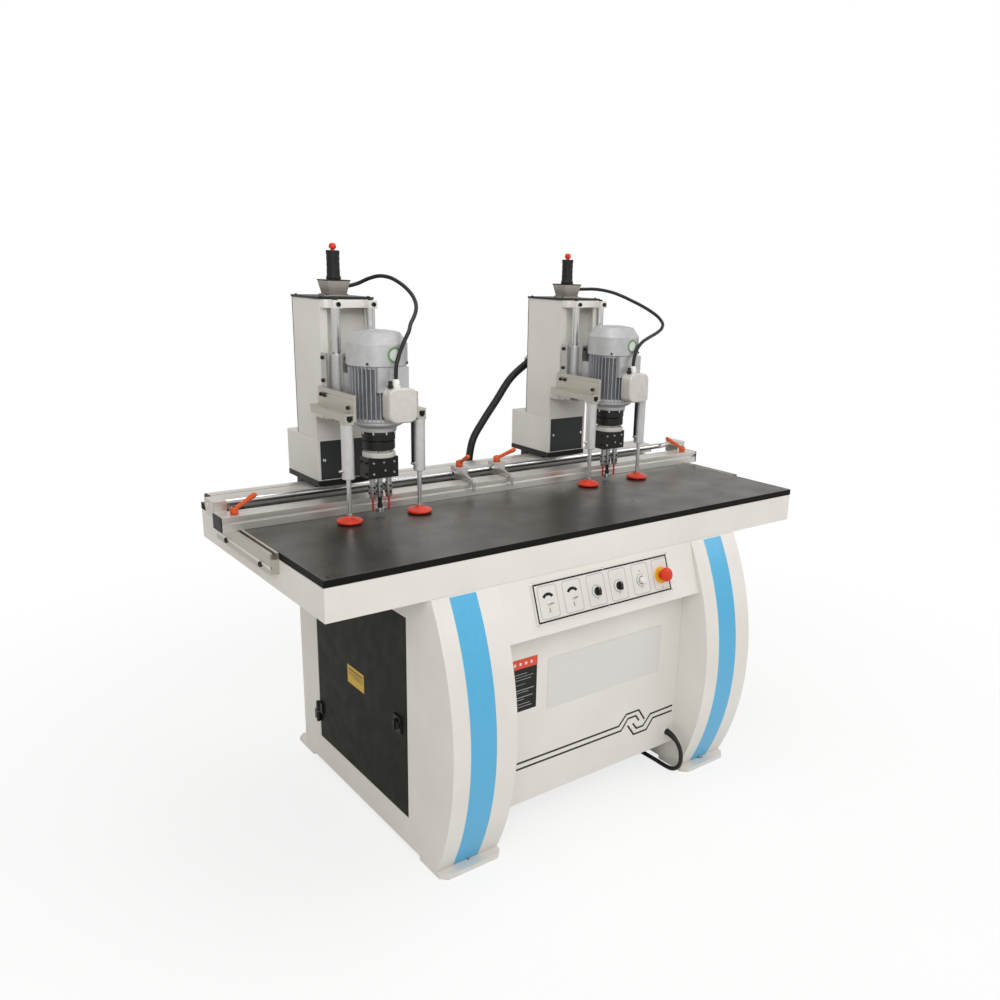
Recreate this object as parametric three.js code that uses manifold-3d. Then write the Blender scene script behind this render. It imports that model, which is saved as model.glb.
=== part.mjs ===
import * as THREE from 'three';
import { mergeVertices } from 'three/addons/utils/BufferGeometryUtils.js';
import Module from 'manifold-3d';

const wasm = await Module();
wasm.setup();

// Two-head hinge boring machine, in millimetres. X runs along the table,
// Y from the operator's side to the back, Z up from the floor.
// Depths below are measured from the front edge of the table, and the heights
// of all that stands on the table from the face of its board.

// Shared clearances and small edges
const seat = 0.3;
const running = 0.6;
const overrun = 8;
const weld = 0.0005;
const softEdge = 1.5;

// Counts of flats on round work
const coarseSides = 10;
const roundSides = 16;
const fineSides = 28;
const bowSteps = 10;
const cornerSteps = 3;

// Table: a dark board on a white welded frame
const tableLength = 1600;
const tableDepth = 790;
const tableHeight = 846;
const boardThickness = 17;
const apronHeight = 82;
const frameTube = 24;
const channelWidth = 24;
const channelHeight = 52;
const channelFront = 240;
const channelRear = 600;
const slotWidth = 9;
const slotLip = 4;
const slotDepth = 12;
const slotInnerWidth = 16;

// Base cabinet
const baseWidth = 1070;
const baseRear = 775;
const legWidth = 188;
const legBulge = 91;
const legToe = 18;
const sheet = 4;
const footThickness = 12;
const footFront = 50;
const footOverhang = 70;
const footCorner = 18;
const footBore = 9;
const footBoreInset = 36;
const panelSetback = 12;
const panelClearance = 90;
const fasciaDrop = 144;
const fasciaProud = 51;

// Service door in the left side of the cabinet
const doorFront = 121;
const doorRear = 654;
const doorBottom = 97;
const doorDrop = 85;
const doorGap = 1.5;
const hingeLow = 150;
const hingeDrop = 87;
const knuckleRadius = 6;
const knuckleLength = 32;
const hingePinRadius = 2.5;
const hingeLeaf = 26;
const hingeLeafThickness = 2.5;
const latchHeight = 354;
const latchInset = 46;
const latchBaseHeight = 46;
const latchBaseWidth = 38;
const latchBaseThickness = 5;
const latchKnobRadius = 15;
const latchKnobHeight = 9;
const latchWing = 5;
const latchShaftRadius = 5;
const latchCamLength = 66;
const latchCamWidth = 14;
const latchCamThickness = 3;

// Rear rail that carries the two heads
const railOverhang = 55;
const railFront = 640;
const railDepth = 148;
const railBottom = 11;
const railHeight = 48;
const railSlotHeight = 10;
const railFootWidth = 90;
const railFootInset = 120;

// Control panel on the sloping fascia
const panelLength = 488;
const panelHeight = 112;
const panelThickness = 3;
const panelDrop = 14;
const panelShift = -5;
const controlRow = 74;
const selectorLeft = -38;
const selectorRight = 41;
const startPlace = 125;
const stopPlace = 203;
const bezelRadius = 15;
const bezelHeight = 4;
const selectorRadius = 11.5;
const selectorHeight = 10;
const selectorHandle = 5;
const startRadius = 9.5;
const startHeight = 7;
const buttonTravel = 3;
const stopHeadRadius = 20;
const stopHeadHeight = 12;
const stopNeckRadius = 11;
const stopNeckHeight = 14;
const stopRingRadius = 30;
const stopRingHeight = 2;
const controlStemRadius = 6;
const controlStemLength = 12;

// Fence with its stop rail
const fenceOverhang = 57;
const fenceFront = 462;
const fenceDepth = 58;
const fenceHeight = 38;
const fenceGroove = 9;
const fenceGrooveDepth = 7;
const fenceCap = 3;
const stopRailRadius = 9;
const stopRailPlace = 567;
const stopRailHeight = 49;
const endBlockLength = 34;
const endBlockHeight = 44;

// Orange clamping levers
const leverHubRadius = 11;
const leverHubHeight = 17;
const leverReach = 60;
const leverStudReach = 10;
const fenceLeverTurns = [12, 110];
const leverRise = 28;
const leverRootRadius = 5.5;
const leverTipRadius = 7;
const leverStudRadius = 4;

// Flip stops on the stop rail
const stopPlaces = [-90, 49];
const stopLeverTurns = [265, -38];
const stopLeverReach = 54;
const stopBlockLength = 38;
const stopBlockDepth = 40;
const stopBlockHeight = 38;
const stopPinRadius = 4;
const stopPinReach = 12;
const stopPinInset = 6.5;
const stopArmWidth = 18;
const stopArmThickness = 9;
const stopArmOverFence = 10;
const stopArmReach = 8;
const stopArmTip = 6;
const stopArmDrop = 34;

// Head: saddle, column and guides
const headPlaces = [-445, 378];
const headWidth = 156;
const saddleFront = 623;
const saddleRear = 832;
const saddleHeight = 121;
const saddlePlate = 5;
const saddleLipDrop = 10;
const saddleSkirtDrop = 34;
const columnFront = 577;
const columnRear = 750;
const columnTop = 560;
const columnStepHeight = 64;
const columnWall = 8;
const columnFlange = 22;
const topPlateThickness = 6;
const topPlateOverhang = 3;
const guideRadius = 11.5;
const guideSpacing = 102;
const guidePlace = 537;
const guideBlockFront = 513;
const guideHeaderHeight = 21;
const guideFootHeight = 22;
const guideFootBottom = 246;
const guideBoltRadius = 7;
const guideBoltHeight = 5;

// Handle on top of the column
const handlePlace = 649;
const bracketWidth = 54;
const bracketHeight = 40;
const bracketFlare = 68;
const bracketFlange = 76;
const bracketSheet = 3;
const gripRadius = 18;
const gripWaist = 15.5;
const gripHeight = 76;
const gripCollarRadius = 20;
const gripCollarHeight = 8;
const thumbRadius = 10;
const thumbHeight = 19;
const thumbTravel = 4;
const thumbStemRadius = 6;

// Carriage on the guide rods
const carriageBottom = 252;
const carriageTop = 426;
const carriagePlateFront = 492;
const carriagePlateThickness = 16;
const carriageHalfWidth = 86;
const sidePlateThickness = 11;
const sidePlateRear = 562;
const sidePlateBottom = 279;
const bearingBottom = 311;
const bearingTop = 421;
const bearingRadius = 20;
const bearingWeb = 10;

// Motor and boring gearbox
const spindlePlace = 411;
const cowlRadius = 79;
const cowlBottom = 404;
const cowlShoulder = 462;
const cowlTop = 494;
const cowlWall = 2.5;
const cowlCrown = 10;
const cowlHoleRadius = 5;
const cowlRimRadius = 50;
const cowlHoleSides = 6;
const cowlHoleShares = [[0.4, 4], [0.84, 9]];
const statorRadius = 66;
const finRadius = 75;
const finThickness = 4;
const finCount = 24;
const motorBottom = 260;
const bellBottom = 232;
const bellRadius = 65;
const bellNeckRadius = 47;
const bellShoulder = 244;
const bellRim = 6;
const motorFootWidth = 110;
const motorFootHeight = 90;
const terminalWidth = 80;
const terminalHeight = 88;
const terminalDepth = 44;
const terminalBottom = 266;
const terminalShift = 14;
const terminalFront = 297;
const terminalCorner = 12;
const terminalLid = 6;
const terminalGroove = 1.5;
const glandRadius = 11;
const glandHeight = 22;
const plugRadius = 7;
const plugHeight = 18;
const glandShift = -10;
const plugShift = -26;
const ringRadius = 44;
const ringHeight = 48;
const ringNotch = 3;
const flangeRadius = 44;
const flangeHeight = 20;
const gearboxWidth = 88;
const gearboxDepth = 52;
const gearboxHeight = 56;
const spindlePitch = 24;
const sideBitSetback = 6;
const sleeveRadius = 9.5;
const sleeveHeight = 57;
const sleeveNose = 4;
const journalRadius = 6;
const journalHeight = 14;
const cupShankRadius = 5;
const cupRadius = 14;
const cupHeight = 12;
const cupSpur = 3;
const dowelBitRadius = 2.6;
const bitHeight = 7;

// Pneumatic hold-down clamps beside each gearbox
const clampPlace = 380;
const clampBarFront = 362;
const clampBarRear = 572;
const clampBarWidth = 30;
const clampBarHeight = 22;
const clampBarTop = 289;
const clampWebHeight = 46;
const clampWebThickness = 7;
const barrelRadius = 16;
const barrelTop = 260;
const barrelBottom = 118;
const barrelCapHeight = 10;
const barrelCapRadius = 17;
const barrelCornerRadius = 13;
const clampRodRadius = 6;
const clampRodOverlap = 66;
const padRadius = 34;
const padEdge = 6;
const padHeight = 17;
const padNeckRadius = 12;
const padUnderCut = 3;
const padBottom = 2;
const clampStroke = 50;

// Cords
const leadRadius = 5.2;
const hoseRadius = 12.5;
const mainsRadius = 6.5;
const hoseGlandRadius = 20;
const hoseGlandHeight = 18;
const hosePlane = 812;
const elbowArm = 34;
const elbowLean = 0.636;
const mainsGlandRadius = 12;
const mainsGlandHeight = 6;
const leadGlandRadius = 9;
const leadGlandLength = 8;
const columnGlandZ = 364;
const hoseGlandX = 104;
const hoseGlandZ = 590;
const mainsExitX = 312;
const mainsExitZ = 134;
const cordSides = 8;
const leadSteps = 22;
const hoseSides = 10;
const hoseSteps = 20;
const mainsSteps = 44;
const cordLead = 6;

// Coil of the mains cable on the floor behind the machine, and its plug
const coilX = 200;
const coilY = 1010;
const coilInnerRadius = 52;
const coilPitch = 15.5;
const coilTurns = 2;
const coilTail = 40;
const loopSteps = 24;
const coilSides = 6;
const plugNoseRadius = 21;
const plugNoseLength = 34;
const plugBodyRadius = 17;
const plugBodyLength = 62;
const plugNutRadius = 11;
const plugNutLength = 16;
const plugWall = 3;
const plugPinRadius = 2.5;
const plugPinRing = 10;
const plugPinLength = 24;
const plugPinCount = 4;

// Colours
const white = 0xe9e8e4;
const aluminium = 0xc9c8c2;
const steel = 0xb4b4b4;
const motorGrey = 0xb9babd;
const black = 0x1b1b1c;
const boardGrey = 0x3d403f;
const orange = 0xe06a2b;
const red = 0xcf3023;

// Heights and depths that follow from the driving sizes
const frameTop = tableHeight - boardThickness;
const frameBottom = frameTop - apronHeight;
const cabinetTop = frameBottom - seat;
const doorTop = cabinetTop - doorDrop;
const hingeHigh = doorTop - hingeDrop;
const halfBase = baseWidth / 2;
const halfTable = tableLength / 2;
const railHalfLength = halfTable + railOverhang;
const fenceHalfLength = halfTable + fenceOverhang;
const leverPlace = halfTable + channelWidth / 2;
const legInner = halfBase - legWidth;
const hingeAxisX = -halfBase - knuckleRadius - seat;
const hingeAxisY = doorRear + doorGap / 2;
const fasciaLean = Math.atan2(fasciaProud, fasciaDrop);
const cabinetFloor = panelClearance + sheet;
const fasciaBottom = cabinetTop - fasciaDrop;
const railTop = railBottom + railHeight;
const railRear = railFront + railDepth;
const saddleBottom = railTop + seat;
const saddleTop = saddleBottom + saddleHeight;
const columnBottom = saddleTop + seat;
const halfHead = headWidth / 2;
const halfGuide = guideSpacing / 2;
const bracketBottom = columnTop + seat + topPlateThickness;
const gripBottom = bracketBottom + bracketHeight + bracketSheet + seat;
const gripTop = gripBottom + gripHeight;
const fenceBottom = seat;
const fenceTop = fenceBottom + fenceHeight;
const fenceRear = fenceFront + fenceDepth;
const fenceMiddle = fenceFront + fenceDepth / 2;
const ringTop = bellBottom - seat;
const ringBottom = ringTop - ringHeight;
const flangeBottom = ringBottom - flangeHeight;
const gearboxBottom = flangeBottom - gearboxHeight;
const sleeveTop = gearboxBottom - seat;
const sleeveBottom = sleeveTop - sleeveHeight;
const clampFace = carriageHalfWidth + seat;
const clampX = clampFace + (clampBarWidth + clampWebThickness) / 2;
const machineFront = -(legBulge + legToe / 2);
const machineRear = baseRear + footOverhang;
const elbowTurn = -(Math.PI / 2 + elbowLean);
const depthShift = -(machineFront + machineRear) / 2;

// Geometry helpers

function outline(points) {
  return new THREE.Shape(points.map(([a, b]) => new THREE.Vector2(a, b)));
}

function alongX(shape, from, to, curveSegments = coarseSides) {
  const body = new THREE.ExtrudeGeometry(shape, { depth: to - from, bevelEnabled: false, curveSegments });
  const axes = new THREE.Matrix4().makeBasis(
    new THREE.Vector3(0, 1, 0), new THREE.Vector3(0, 0, 1), new THREE.Vector3(1, 0, 0));
  return body.applyMatrix4(axes).translate(from, 0, 0);
}

function alongY(shape, from, to, curveSegments = coarseSides) {
  const body = new THREE.ExtrudeGeometry(shape, { depth: to - from, bevelEnabled: false, curveSegments });
  const axes = new THREE.Matrix4().makeBasis(
    new THREE.Vector3(1, 0, 0), new THREE.Vector3(0, 0, 1), new THREE.Vector3(0, -1, 0));
  return body.applyMatrix4(axes).translate(0, to, 0);
}

function alongZ(shape, from, to, curveSegments = coarseSides) {
  const body = new THREE.ExtrudeGeometry(shape, { depth: to - from, bevelEnabled: false, curveSegments });
  return body.translate(0, 0, from);
}

function box(x0, x1, y0, y1, z0, z1) {
  const body = new THREE.BoxGeometry(x1 - x0, y1 - y0, z1 - z0);
  return body.translate((x0 + x1) / 2, (y0 + y1) / 2, (z0 + z1) / 2);
}

function roundedShape(x0, x1, y0, y1, radius) {
  const quarter = Math.PI / 2;
  const shape = new THREE.Shape();
  shape.absarc(x1 - radius, y0 + radius, radius, -quarter, 0);
  shape.absarc(x1 - radius, y1 - radius, radius, 0, quarter);
  shape.absarc(x0 + radius, y1 - radius, radius, quarter, 2 * quarter);
  shape.absarc(x0 + radius, y0 + radius, radius, 2 * quarter, 3 * quarter);
  shape.closePath();
  return shape;
}

// A block with chamfered edges around its top and bottom faces
function easedBlock(x0, x1, y0, y1, z0, z1, edge = softEdge) {
  const shape = outline([[x0, y0], [x1, y0], [x1, y1], [x0, y1]]);
  const body = new THREE.ExtrudeGeometry(shape, {
    depth: z1 - z0 - 2 * edge, bevelThickness: edge, bevelSize: edge, bevelOffset: -edge, bevelSegments: 1,
  });
  return body.translate(0, 0, z0 + edge);
}

function roundZ(radius, from, to, sides = roundSides, x = 0, y = 0) {
  const body = new THREE.CylinderGeometry(radius, radius, to - from, sides);
  return body.rotateX(Math.PI / 2).translate(x, y, (from + to) / 2);
}

function roundY(radius, from, to, sides = roundSides, x = 0, z = 0) {
  const body = new THREE.CylinderGeometry(radius, radius, to - from, sides);
  return body.translate(x, (from + to) / 2, z);
}

function roundX(radius, from, to, sides = roundSides, y = 0, z = 0) {
  const body = new THREE.CylinderGeometry(radius, radius, to - from, sides);
  return body.rotateZ(Math.PI / 2).translate((from + to) / 2, y, z);
}

// A turned body: [radius, height] pairs around the Z axis, from axis to axis
function turned(profile, sides = roundSides, x = 0, y = 0) {
  const points = profile.map(([radius, height]) => new THREE.Vector2(radius, height));
  return new THREE.LatheGeometry(points, sides).rotateX(Math.PI / 2).translate(x, y, 0);
}

// A tube of even radius along a smooth curve through the points
function tubeAlong(points, radius, sides, steps) {
  const curve = new THREE.CatmullRomCurve3(points.map((point) => new THREE.Vector3(...point)));
  const turn = 2 * Math.PI / sides;
  const ring = Array.from({ length: sides }, (_, i) =>
    [radius * Math.cos(i * turn), radius * Math.sin(i * turn)]);
  return new THREE.ExtrudeGeometry(outline(ring), { steps, bevelEnabled: false, extrudePath: curve });
}

function toSolid(geometry) {
  const bare = new THREE.BufferGeometry();
  bare.setAttribute('position', geometry.getAttribute('position'));
  if (geometry.index) bare.setIndex(geometry.index);
  const merged = mergeVertices(bare, weld);
  const mesh = new wasm.Mesh({
    numProp: 3,
    vertProperties: new Float32Array(merged.getAttribute('position').array),
    triVerts: new Uint32Array(merged.index.array),
  });
  return new wasm.Manifold(mesh);
}

function toGeometry(solid) {
  const mesh = solid.getMesh();
  const geometry = new THREE.BufferGeometry();
  geometry.setAttribute('position', new THREE.BufferAttribute(mesh.vertProperties, mesh.numProp));
  geometry.setIndex(new THREE.BufferAttribute(mesh.triVerts, 1));
  return geometry;
}

function join(...parts) {
  return toGeometry(parts.map(toSolid).reduce((whole, part) => whole.add(part)));
}

function cut(body, ...tools) {
  return toGeometry(tools.map(toSolid).reduce((left, tool) => left.subtract(tool), toSolid(body)));
}

const machine = new THREE.Group();
machine.position.y = depthShift;
const upper = new THREE.Group();
upper.position.z = tableHeight;
machine.add(upper);

function finish(color, roughness, metalness) {
  return new THREE.MeshStandardMaterial({ color, roughness, metalness });
}

const finishes = {
  paint: finish(white, 0.45, 0),
  aluminium: finish(aluminium, 0.4, 1),
  steel: finish(steel, 0.3, 1),
  casting: finish(motorGrey, 0.5, 0.3),
  black: finish(black, 0.5, 0),
  board: finish(boardGrey, 0.7, 0),
  orange: finish(orange, 0.4, 0),
  red: finish(red, 0.45, 0),
};

function add(parent, name, geometry, material) {
  const flat = geometry.index ? geometry.toNonIndexed() : geometry;
  flat.computeVertexNormals();
  const mesh = new THREE.Mesh(flat, material);
  mesh.name = name;
  parent.add(mesh);
  return mesh;
}

// The bowed front edge of a leg, from the toe up to the table, as points
function legFrontEdge(inset, zLow, zHigh) {
  const middle = (footThickness + cabinetTop) / 2;
  const half = (cabinetTop - footThickness) / 2;
  const radius = (half * half + legBulge * legBulge) / (2 * legBulge);
  const centreY = radius - legBulge - legToe / 2 + inset;
  const lean = legToe / (2 * half);
  return Array.from({ length: bowSteps + 1 }, (_, i) => {
    const z = zLow + (zHigh - zLow) * i / bowSteps;
    const y = centreY - Math.sqrt(radius * radius - (z - middle) ** 2) + (z - middle) * lean;
    return [y, z];
  });
}

// Base: two bow-fronted legs and the cabinet between them, three welded shells seated side by side

function makeShell() {
  const side = [...legFrontEdge(0, footThickness, cabinetTop),
    [baseRear, cabinetTop], [baseRear, footThickness]];
  const body = alongX(outline(side), -halfBase, halfBase);
  const recess = outline([
    [-legBulge - legToe - overrun, -overrun], [panelSetback, -overrun], [panelSetback, fasciaBottom],
    [-fasciaProud, fasciaBottom], [0, cabinetTop], [0, cabinetTop + overrun],
    [-legBulge - legToe - overrun, cabinetTop + overrun]]);
  const underPanel = box(-legInner, legInner, -legBulge, baseRear + overrun, 0, panelClearance);
  const room = box(-halfBase + sheet, halfBase - sheet, panelSetback + sheet, baseRear - sheet,
    cabinetFloor, cabinetTop - sheet);
  const wall = sheet / Math.cos(fasciaLean);
  const behindFascia = outline([
    [-fasciaProud + 2 * wall, fasciaBottom + sheet], [panelSetback + 2 * sheet, fasciaBottom + sheet],
    [panelSetback + 2 * sheet, cabinetTop - sheet], [wall + sheet, cabinetTop - sheet]]);
  const legProfile = [...legFrontEdge(sheet, cabinetFloor, cabinetTop - sheet),
    [baseRear - sheet, cabinetTop - sheet], [baseRear - sheet, cabinetFloor]];
  const skirtProfile = [...legFrontEdge(sheet, footThickness - seat, panelClearance),
    [baseRear - sheet, panelClearance], [baseRear - sheet, footThickness - seat]];
  const tools = [alongX(recess, -legInner, legInner), underPanel, room,
    alongX(behindFascia, -legInner + sheet, legInner - sheet)];
  for (const edge of [-halfBase, legInner]) {
    tools.push(alongX(outline(legProfile), edge + sheet, edge + legWidth - sheet));
    tools.push(alongX(outline(skirtProfile), edge + sheet, edge + legWidth - sheet));
  }
  tools.push(box(-halfBase - overrun, -halfBase + sheet + overrun,
    doorFront - doorGap, doorRear + doorGap, doorBottom - doorGap, doorTop + doorGap));
  return cut(body, ...tools);
}

// Block that cuts away the shell between two places along the table
function beyond(from, to) {
  return box(from, to, -legBulge - legToe - overrun, baseRear + overrun, -overrun, cabinetTop + overrun);
}

function makeLeg(edge) {
  const far = edge + legWidth;
  const leg = cut(makeShell(), beyond(-halfBase - overrun, edge), beyond(far, halfBase + overrun));
  return join(leg, ...makeFeet(edge));
}

function makeCabinet() {
  const middle = cut(makeShell(), beyond(-halfBase - overrun, -legInner + seat),
    beyond(legInner - seat, halfBase + overrun));
  const fitted = join(middle, makeMainsGland(),
    makeElbow(baseRear - sheet / 2, hoseGlandX, hoseGlandZ, 0));
  return cut(fitted, ...controlHoles());
}

// Foot plates with an anchor bore, two under each leg
function makeFeet(edge) {
  const places = [
    [-footFront, panelSetback + footOverhang, footBoreInset - footFront],
    [baseRear - footOverhang, baseRear + footOverhang, baseRear + footOverhang - footBoreInset]];
  return places.map(([front, rear, bore]) => {
    const far = edge + legWidth;
    const plate = outline([
      [edge + footCorner, front], [far - footCorner, front], [far, front + footCorner],
      [far, rear - footCorner], [far - footCorner, rear],
      [edge + footCorner, rear], [edge, rear - footCorner], [edge, front + footCorner]]);
    const middle = edge + legWidth / 2;
    return cut(alongZ(plate, 0, footThickness + seat),
      roundZ(footBore, -overrun, footThickness + overrun, coarseSides, middle, bore));
  });
}

// Lower hinge knuckles with their pins, on the cabinet side
function makeDoorPins() {
  return [hingeLow, hingeHigh].map((height) => join(
    roundZ(knuckleRadius, height, height + knuckleLength, coarseSides, hingeAxisX, hingeAxisY),
    roundZ(hingePinRadius, height + knuckleLength - overrun, height + 2 * knuckleLength - overrun,
      coarseSides, hingeAxisX, hingeAxisY),
    box(hingeAxisX, hingeAxisX + hingeLeafThickness, hingeAxisY, hingeAxisY + hingeLeaf,
      height, height + knuckleLength),
    box(hingeAxisX, -halfBase + sheet / 2, hingeAxisY + doorGap, hingeAxisY + hingeLeaf,
      height, height + knuckleLength)));
}

// Elbow of the hose: a boss standing back from a wall, and an arm turned from straight up towards +X
function makeElbow(wall, x, z, turn) {
  const boss = roundY(hoseGlandRadius, wall, hosePlane, coarseSides, x, z);
  const corner = new THREE.SphereGeometry(hoseGlandRadius, coarseSides, coarseSides / 2);
  const arm = roundZ(hoseGlandRadius, 0, elbowArm, coarseSides).rotateY(turn);
  return join(boss, corner.rotateX(Math.PI / 2).translate(x, hosePlane, z), arm.translate(x, hosePlane, z));
}

function makeMainsGland() {
  return roundY(mainsGlandRadius, panelSetback - mainsGlandHeight, panelSetback + sheet / 2, coarseSides,
    mainsExitX, mainsExitZ);
}

function makeDoor() {
  const plate = box(-halfBase, -halfBase + sheet, doorFront, doorRear, doorBottom, doorTop);
  const parts = [hingeLow, hingeHigh].map((height) => {
    const low = height + knuckleLength + running;
    return cut(
      join(roundZ(knuckleRadius, low, low + knuckleLength, coarseSides, hingeAxisX, hingeAxisY),
        box(hingeAxisX, hingeAxisX + hingeLeafThickness, hingeAxisY - hingeLeaf, hingeAxisY,
          low, low + knuckleLength),
        box(hingeAxisX, -halfBase + sheet / 2, hingeAxisY - hingeLeaf, hingeAxisY - 2 * doorGap,
          low, low + knuckleLength)),
      roundZ(hingePinRadius + running, low - overrun, low + knuckleLength - overrun + running, coarseSides,
        hingeAxisX, hingeAxisY));
  });
  const rib = box(-halfBase + sheet / 2, -halfBase + 3 * sheet,
    doorFront + latchInset + latchCamLength, doorRear - latchInset, latchHeight - sheet, latchHeight + sheet);
  const latchY = doorFront + latchInset;
  const escutcheon = box(-halfBase - latchBaseThickness, -halfBase + sheet / 2,
    latchY - latchBaseWidth / 2, latchY + latchBaseWidth / 2,
    latchHeight - latchBaseHeight / 2, latchHeight + latchBaseHeight / 2);
  return cut(join(plate, rib, escutcheon, ...parts),
    roundX(latchShaftRadius + running, -halfBase - latchBaseThickness - overrun, -halfBase + sheet + overrun,
      coarseSides, latchY, latchHeight));
}

// Quarter-turn latch, drawn unlocked: wing knob outside, shaft through the door, cam hanging inside
function makeLatch() {
  const y = doorFront + latchInset;
  const face = -halfBase - latchBaseThickness - seat;
  const inner = -halfBase + sheet + running;
  const knob = roundX(latchKnobRadius, face - latchKnobHeight / 2, face, roundSides, y, latchHeight);
  const wing = box(face - latchKnobHeight, face, y - latchWing / 2, y + latchWing / 2,
    latchHeight - latchKnobRadius, latchHeight + latchKnobRadius);
  const shaft = roundX(latchShaftRadius, face - seat, inner + latchCamThickness, coarseSides,
    y, latchHeight);
  const cam = box(inner, inner + latchCamThickness, y - latchCamWidth / 2, y + latchCamWidth / 2,
    latchHeight - latchCamLength, latchHeight + latchShaftRadius);
  return join(knob, wing, shaft, cam);
}

// Table frame with the fence's side channels screwed to its ends

function makeTableFrame() {
  const ring = cut(
    box(-halfTable, halfTable, 0, tableDepth, frameBottom, frameTop - seat),
    ...[-1, 0, 1].map((bay) => {
      const [left, right] = [
        [-halfTable + frameTube, -halfBase + frameTube / 2],
        [-halfBase + 1.5 * frameTube, halfBase - 1.5 * frameTube],
        [halfBase - frameTube / 2, halfTable - frameTube]][bay + 1];
      return box(left, right, frameTube, tableDepth - frameTube, frameBottom - overrun, frameTop + overrun);
    }));
  return join(ring, ...[-1, 1].map(makeSideChannel));
}

function makeSideChannel(side) {
  const top = tableHeight;
  const bottom = top - channelHeight;
  const inner = halfTable - seat;
  const outer = halfTable + channelWidth;
  const middle = leverPlace;
  const points = [
    [inner, bottom], [outer, bottom], [outer, top],
    [middle + slotWidth / 2, top], [middle + slotWidth / 2, top - slotLip],
    [middle + slotInnerWidth / 2, top - slotLip], [middle + slotInnerWidth / 2, top - slotLip - slotDepth],
    [middle - slotInnerWidth / 2, top - slotLip - slotDepth], [middle - slotInnerWidth / 2, top - slotLip],
    [middle - slotWidth / 2, top - slotLip], [middle - slotWidth / 2, top],
    [halfTable + seat, top], [halfTable + seat, frameTop - 2 * seat], [inner, frameTop - 2 * seat]];
  const placed = points.map(([x, z]) => [side * x, z]);
  return alongY(outline(side > 0 ? placed : placed.reverse()), channelFront, channelRear);
}

function makeBoard() {
  return easedBlock(-halfTable, halfTable, 0, tableDepth, frameTop, tableHeight);
}

// Rail beam: an aluminium section with T-slots, on two cross feet

function makeRail() {
  const middle = railBottom + railHeight / 2;
  const slot = (z, face, inward) => [
    [face, z - railSlotHeight / 2], [face + inward * slotLip, z - railSlotHeight / 2],
    [face + inward * slotLip, z - railSlotHeight], [face + inward * slotDepth, z - railSlotHeight],
    [face + inward * slotDepth, z + railSlotHeight], [face + inward * slotLip, z + railSlotHeight],
    [face + inward * slotLip, z + railSlotHeight / 2], [face, z + railSlotHeight / 2]];
  const section = outline([
    [railFront, railBottom], [railRear, railBottom], ...slot(middle, railRear, -1),
    [railRear, railTop], [railFront, railTop], ...slot(middle, railFront, 1).reverse()]);
  const feet = [-1, 1].map((side) => {
    const place = side * (halfTable - railFootInset);
    return box(place - railFootWidth / 2, place + railFootWidth / 2,
      railFront + railSlotHeight, railRear - railSlotHeight, seat, railBottom + seat);
  });
  return join(alongX(section, -railHalfLength, railHalfLength), ...feet);
}

// Controls, built flat with the panel face on z = 0 and then leaned onto the fascia

const controls = new THREE.Group();
controls.position.set(0, -seat * Math.cos(fasciaLean), cabinetTop);
controls.rotation.x = Math.PI / 2 - fasciaLean;
machine.add(controls);

function makePanel() {
  const left = panelShift - panelLength / 2;
  const face = roundedShape(left, left + panelLength, -panelDrop - panelHeight, -panelDrop, bezelHeight);
  const plate = alongZ(face, 0, panelThickness, cornerSteps);
  const bezels = [selectorLeft, selectorRight, startPlace].map((place) =>
    roundZ(bezelRadius, panelThickness / 2, panelThickness + bezelHeight, roundSides, place, -controlRow));
  const ring = roundZ(stopRingRadius, panelThickness / 2, panelThickness + stopRingHeight, roundSides,
    stopPlace, -controlRow);
  const holes = [selectorLeft, selectorRight, startPlace, stopPlace].map((place) =>
    roundZ(controlStemRadius + running, -overrun, panelThickness + overrun, coarseSides, place, -controlRow));
  return cut(join(plate, ...bezels, ring), ...holes);
}

// Clearance holes in the fascia behind each control
function controlHoles() {
  return [selectorLeft, selectorRight, startPlace, stopPlace].map((place) => {
    const hole = roundZ(controlStemRadius + running, -controlStemLength - overrun, overrun, coarseSides,
      place, -controlRow);
    return hole.rotateX(Math.PI / 2 - fasciaLean).translate(0, -seat * Math.cos(fasciaLean), cabinetTop);
  });
}

function makeSelector(place) {
  const low = panelThickness + bezelHeight + seat;
  const knob = roundZ(selectorRadius, low, low + selectorHeight / 2, roundSides, place, -controlRow);
  const handle = box(place - selectorHandle / 2, place + selectorHandle / 2,
    -controlRow - selectorRadius, -controlRow + selectorRadius, low, low + selectorHeight);
  const stem = roundZ(controlStemRadius, -controlStemLength, low + seat, coarseSides, place, -controlRow);
  return join(knob, handle, stem);
}

function makeStart() {
  const low = panelThickness + bezelHeight + buttonTravel;
  const top = low + startHeight;
  const cap = turned([[0, low], [startRadius, low], [startRadius, top - softEdge],
    [startRadius - softEdge, top], [0, top]], roundSides, startPlace, -controlRow);
  const stem = roundZ(controlStemRadius, -controlStemLength + buttonTravel, low + seat, coarseSides,
    startPlace, -controlRow);
  return join(cap, stem);
}

function makeStop() {
  const low = panelThickness + stopRingHeight + buttonTravel;
  const neckTop = low + stopNeckHeight;
  const top = neckTop + stopHeadHeight;
  const head = turned([[0, low], [stopNeckRadius, low], [stopNeckRadius, neckTop], [stopHeadRadius, neckTop],
    [stopHeadRadius, neckTop + stopHeadHeight / 2], [stopHeadRadius - 2 * softEdge, top - softEdge],
    [stopNeckRadius, top], [0, top]], roundSides, stopPlace, -controlRow);
  const stem = roundZ(controlStemRadius, -controlStemLength + buttonTravel, low + seat, coarseSides,
    stopPlace, -controlRow);
  return join(head, stem);
}

// Fence: one grooved section with end caps and the round stop rail behind it

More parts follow.
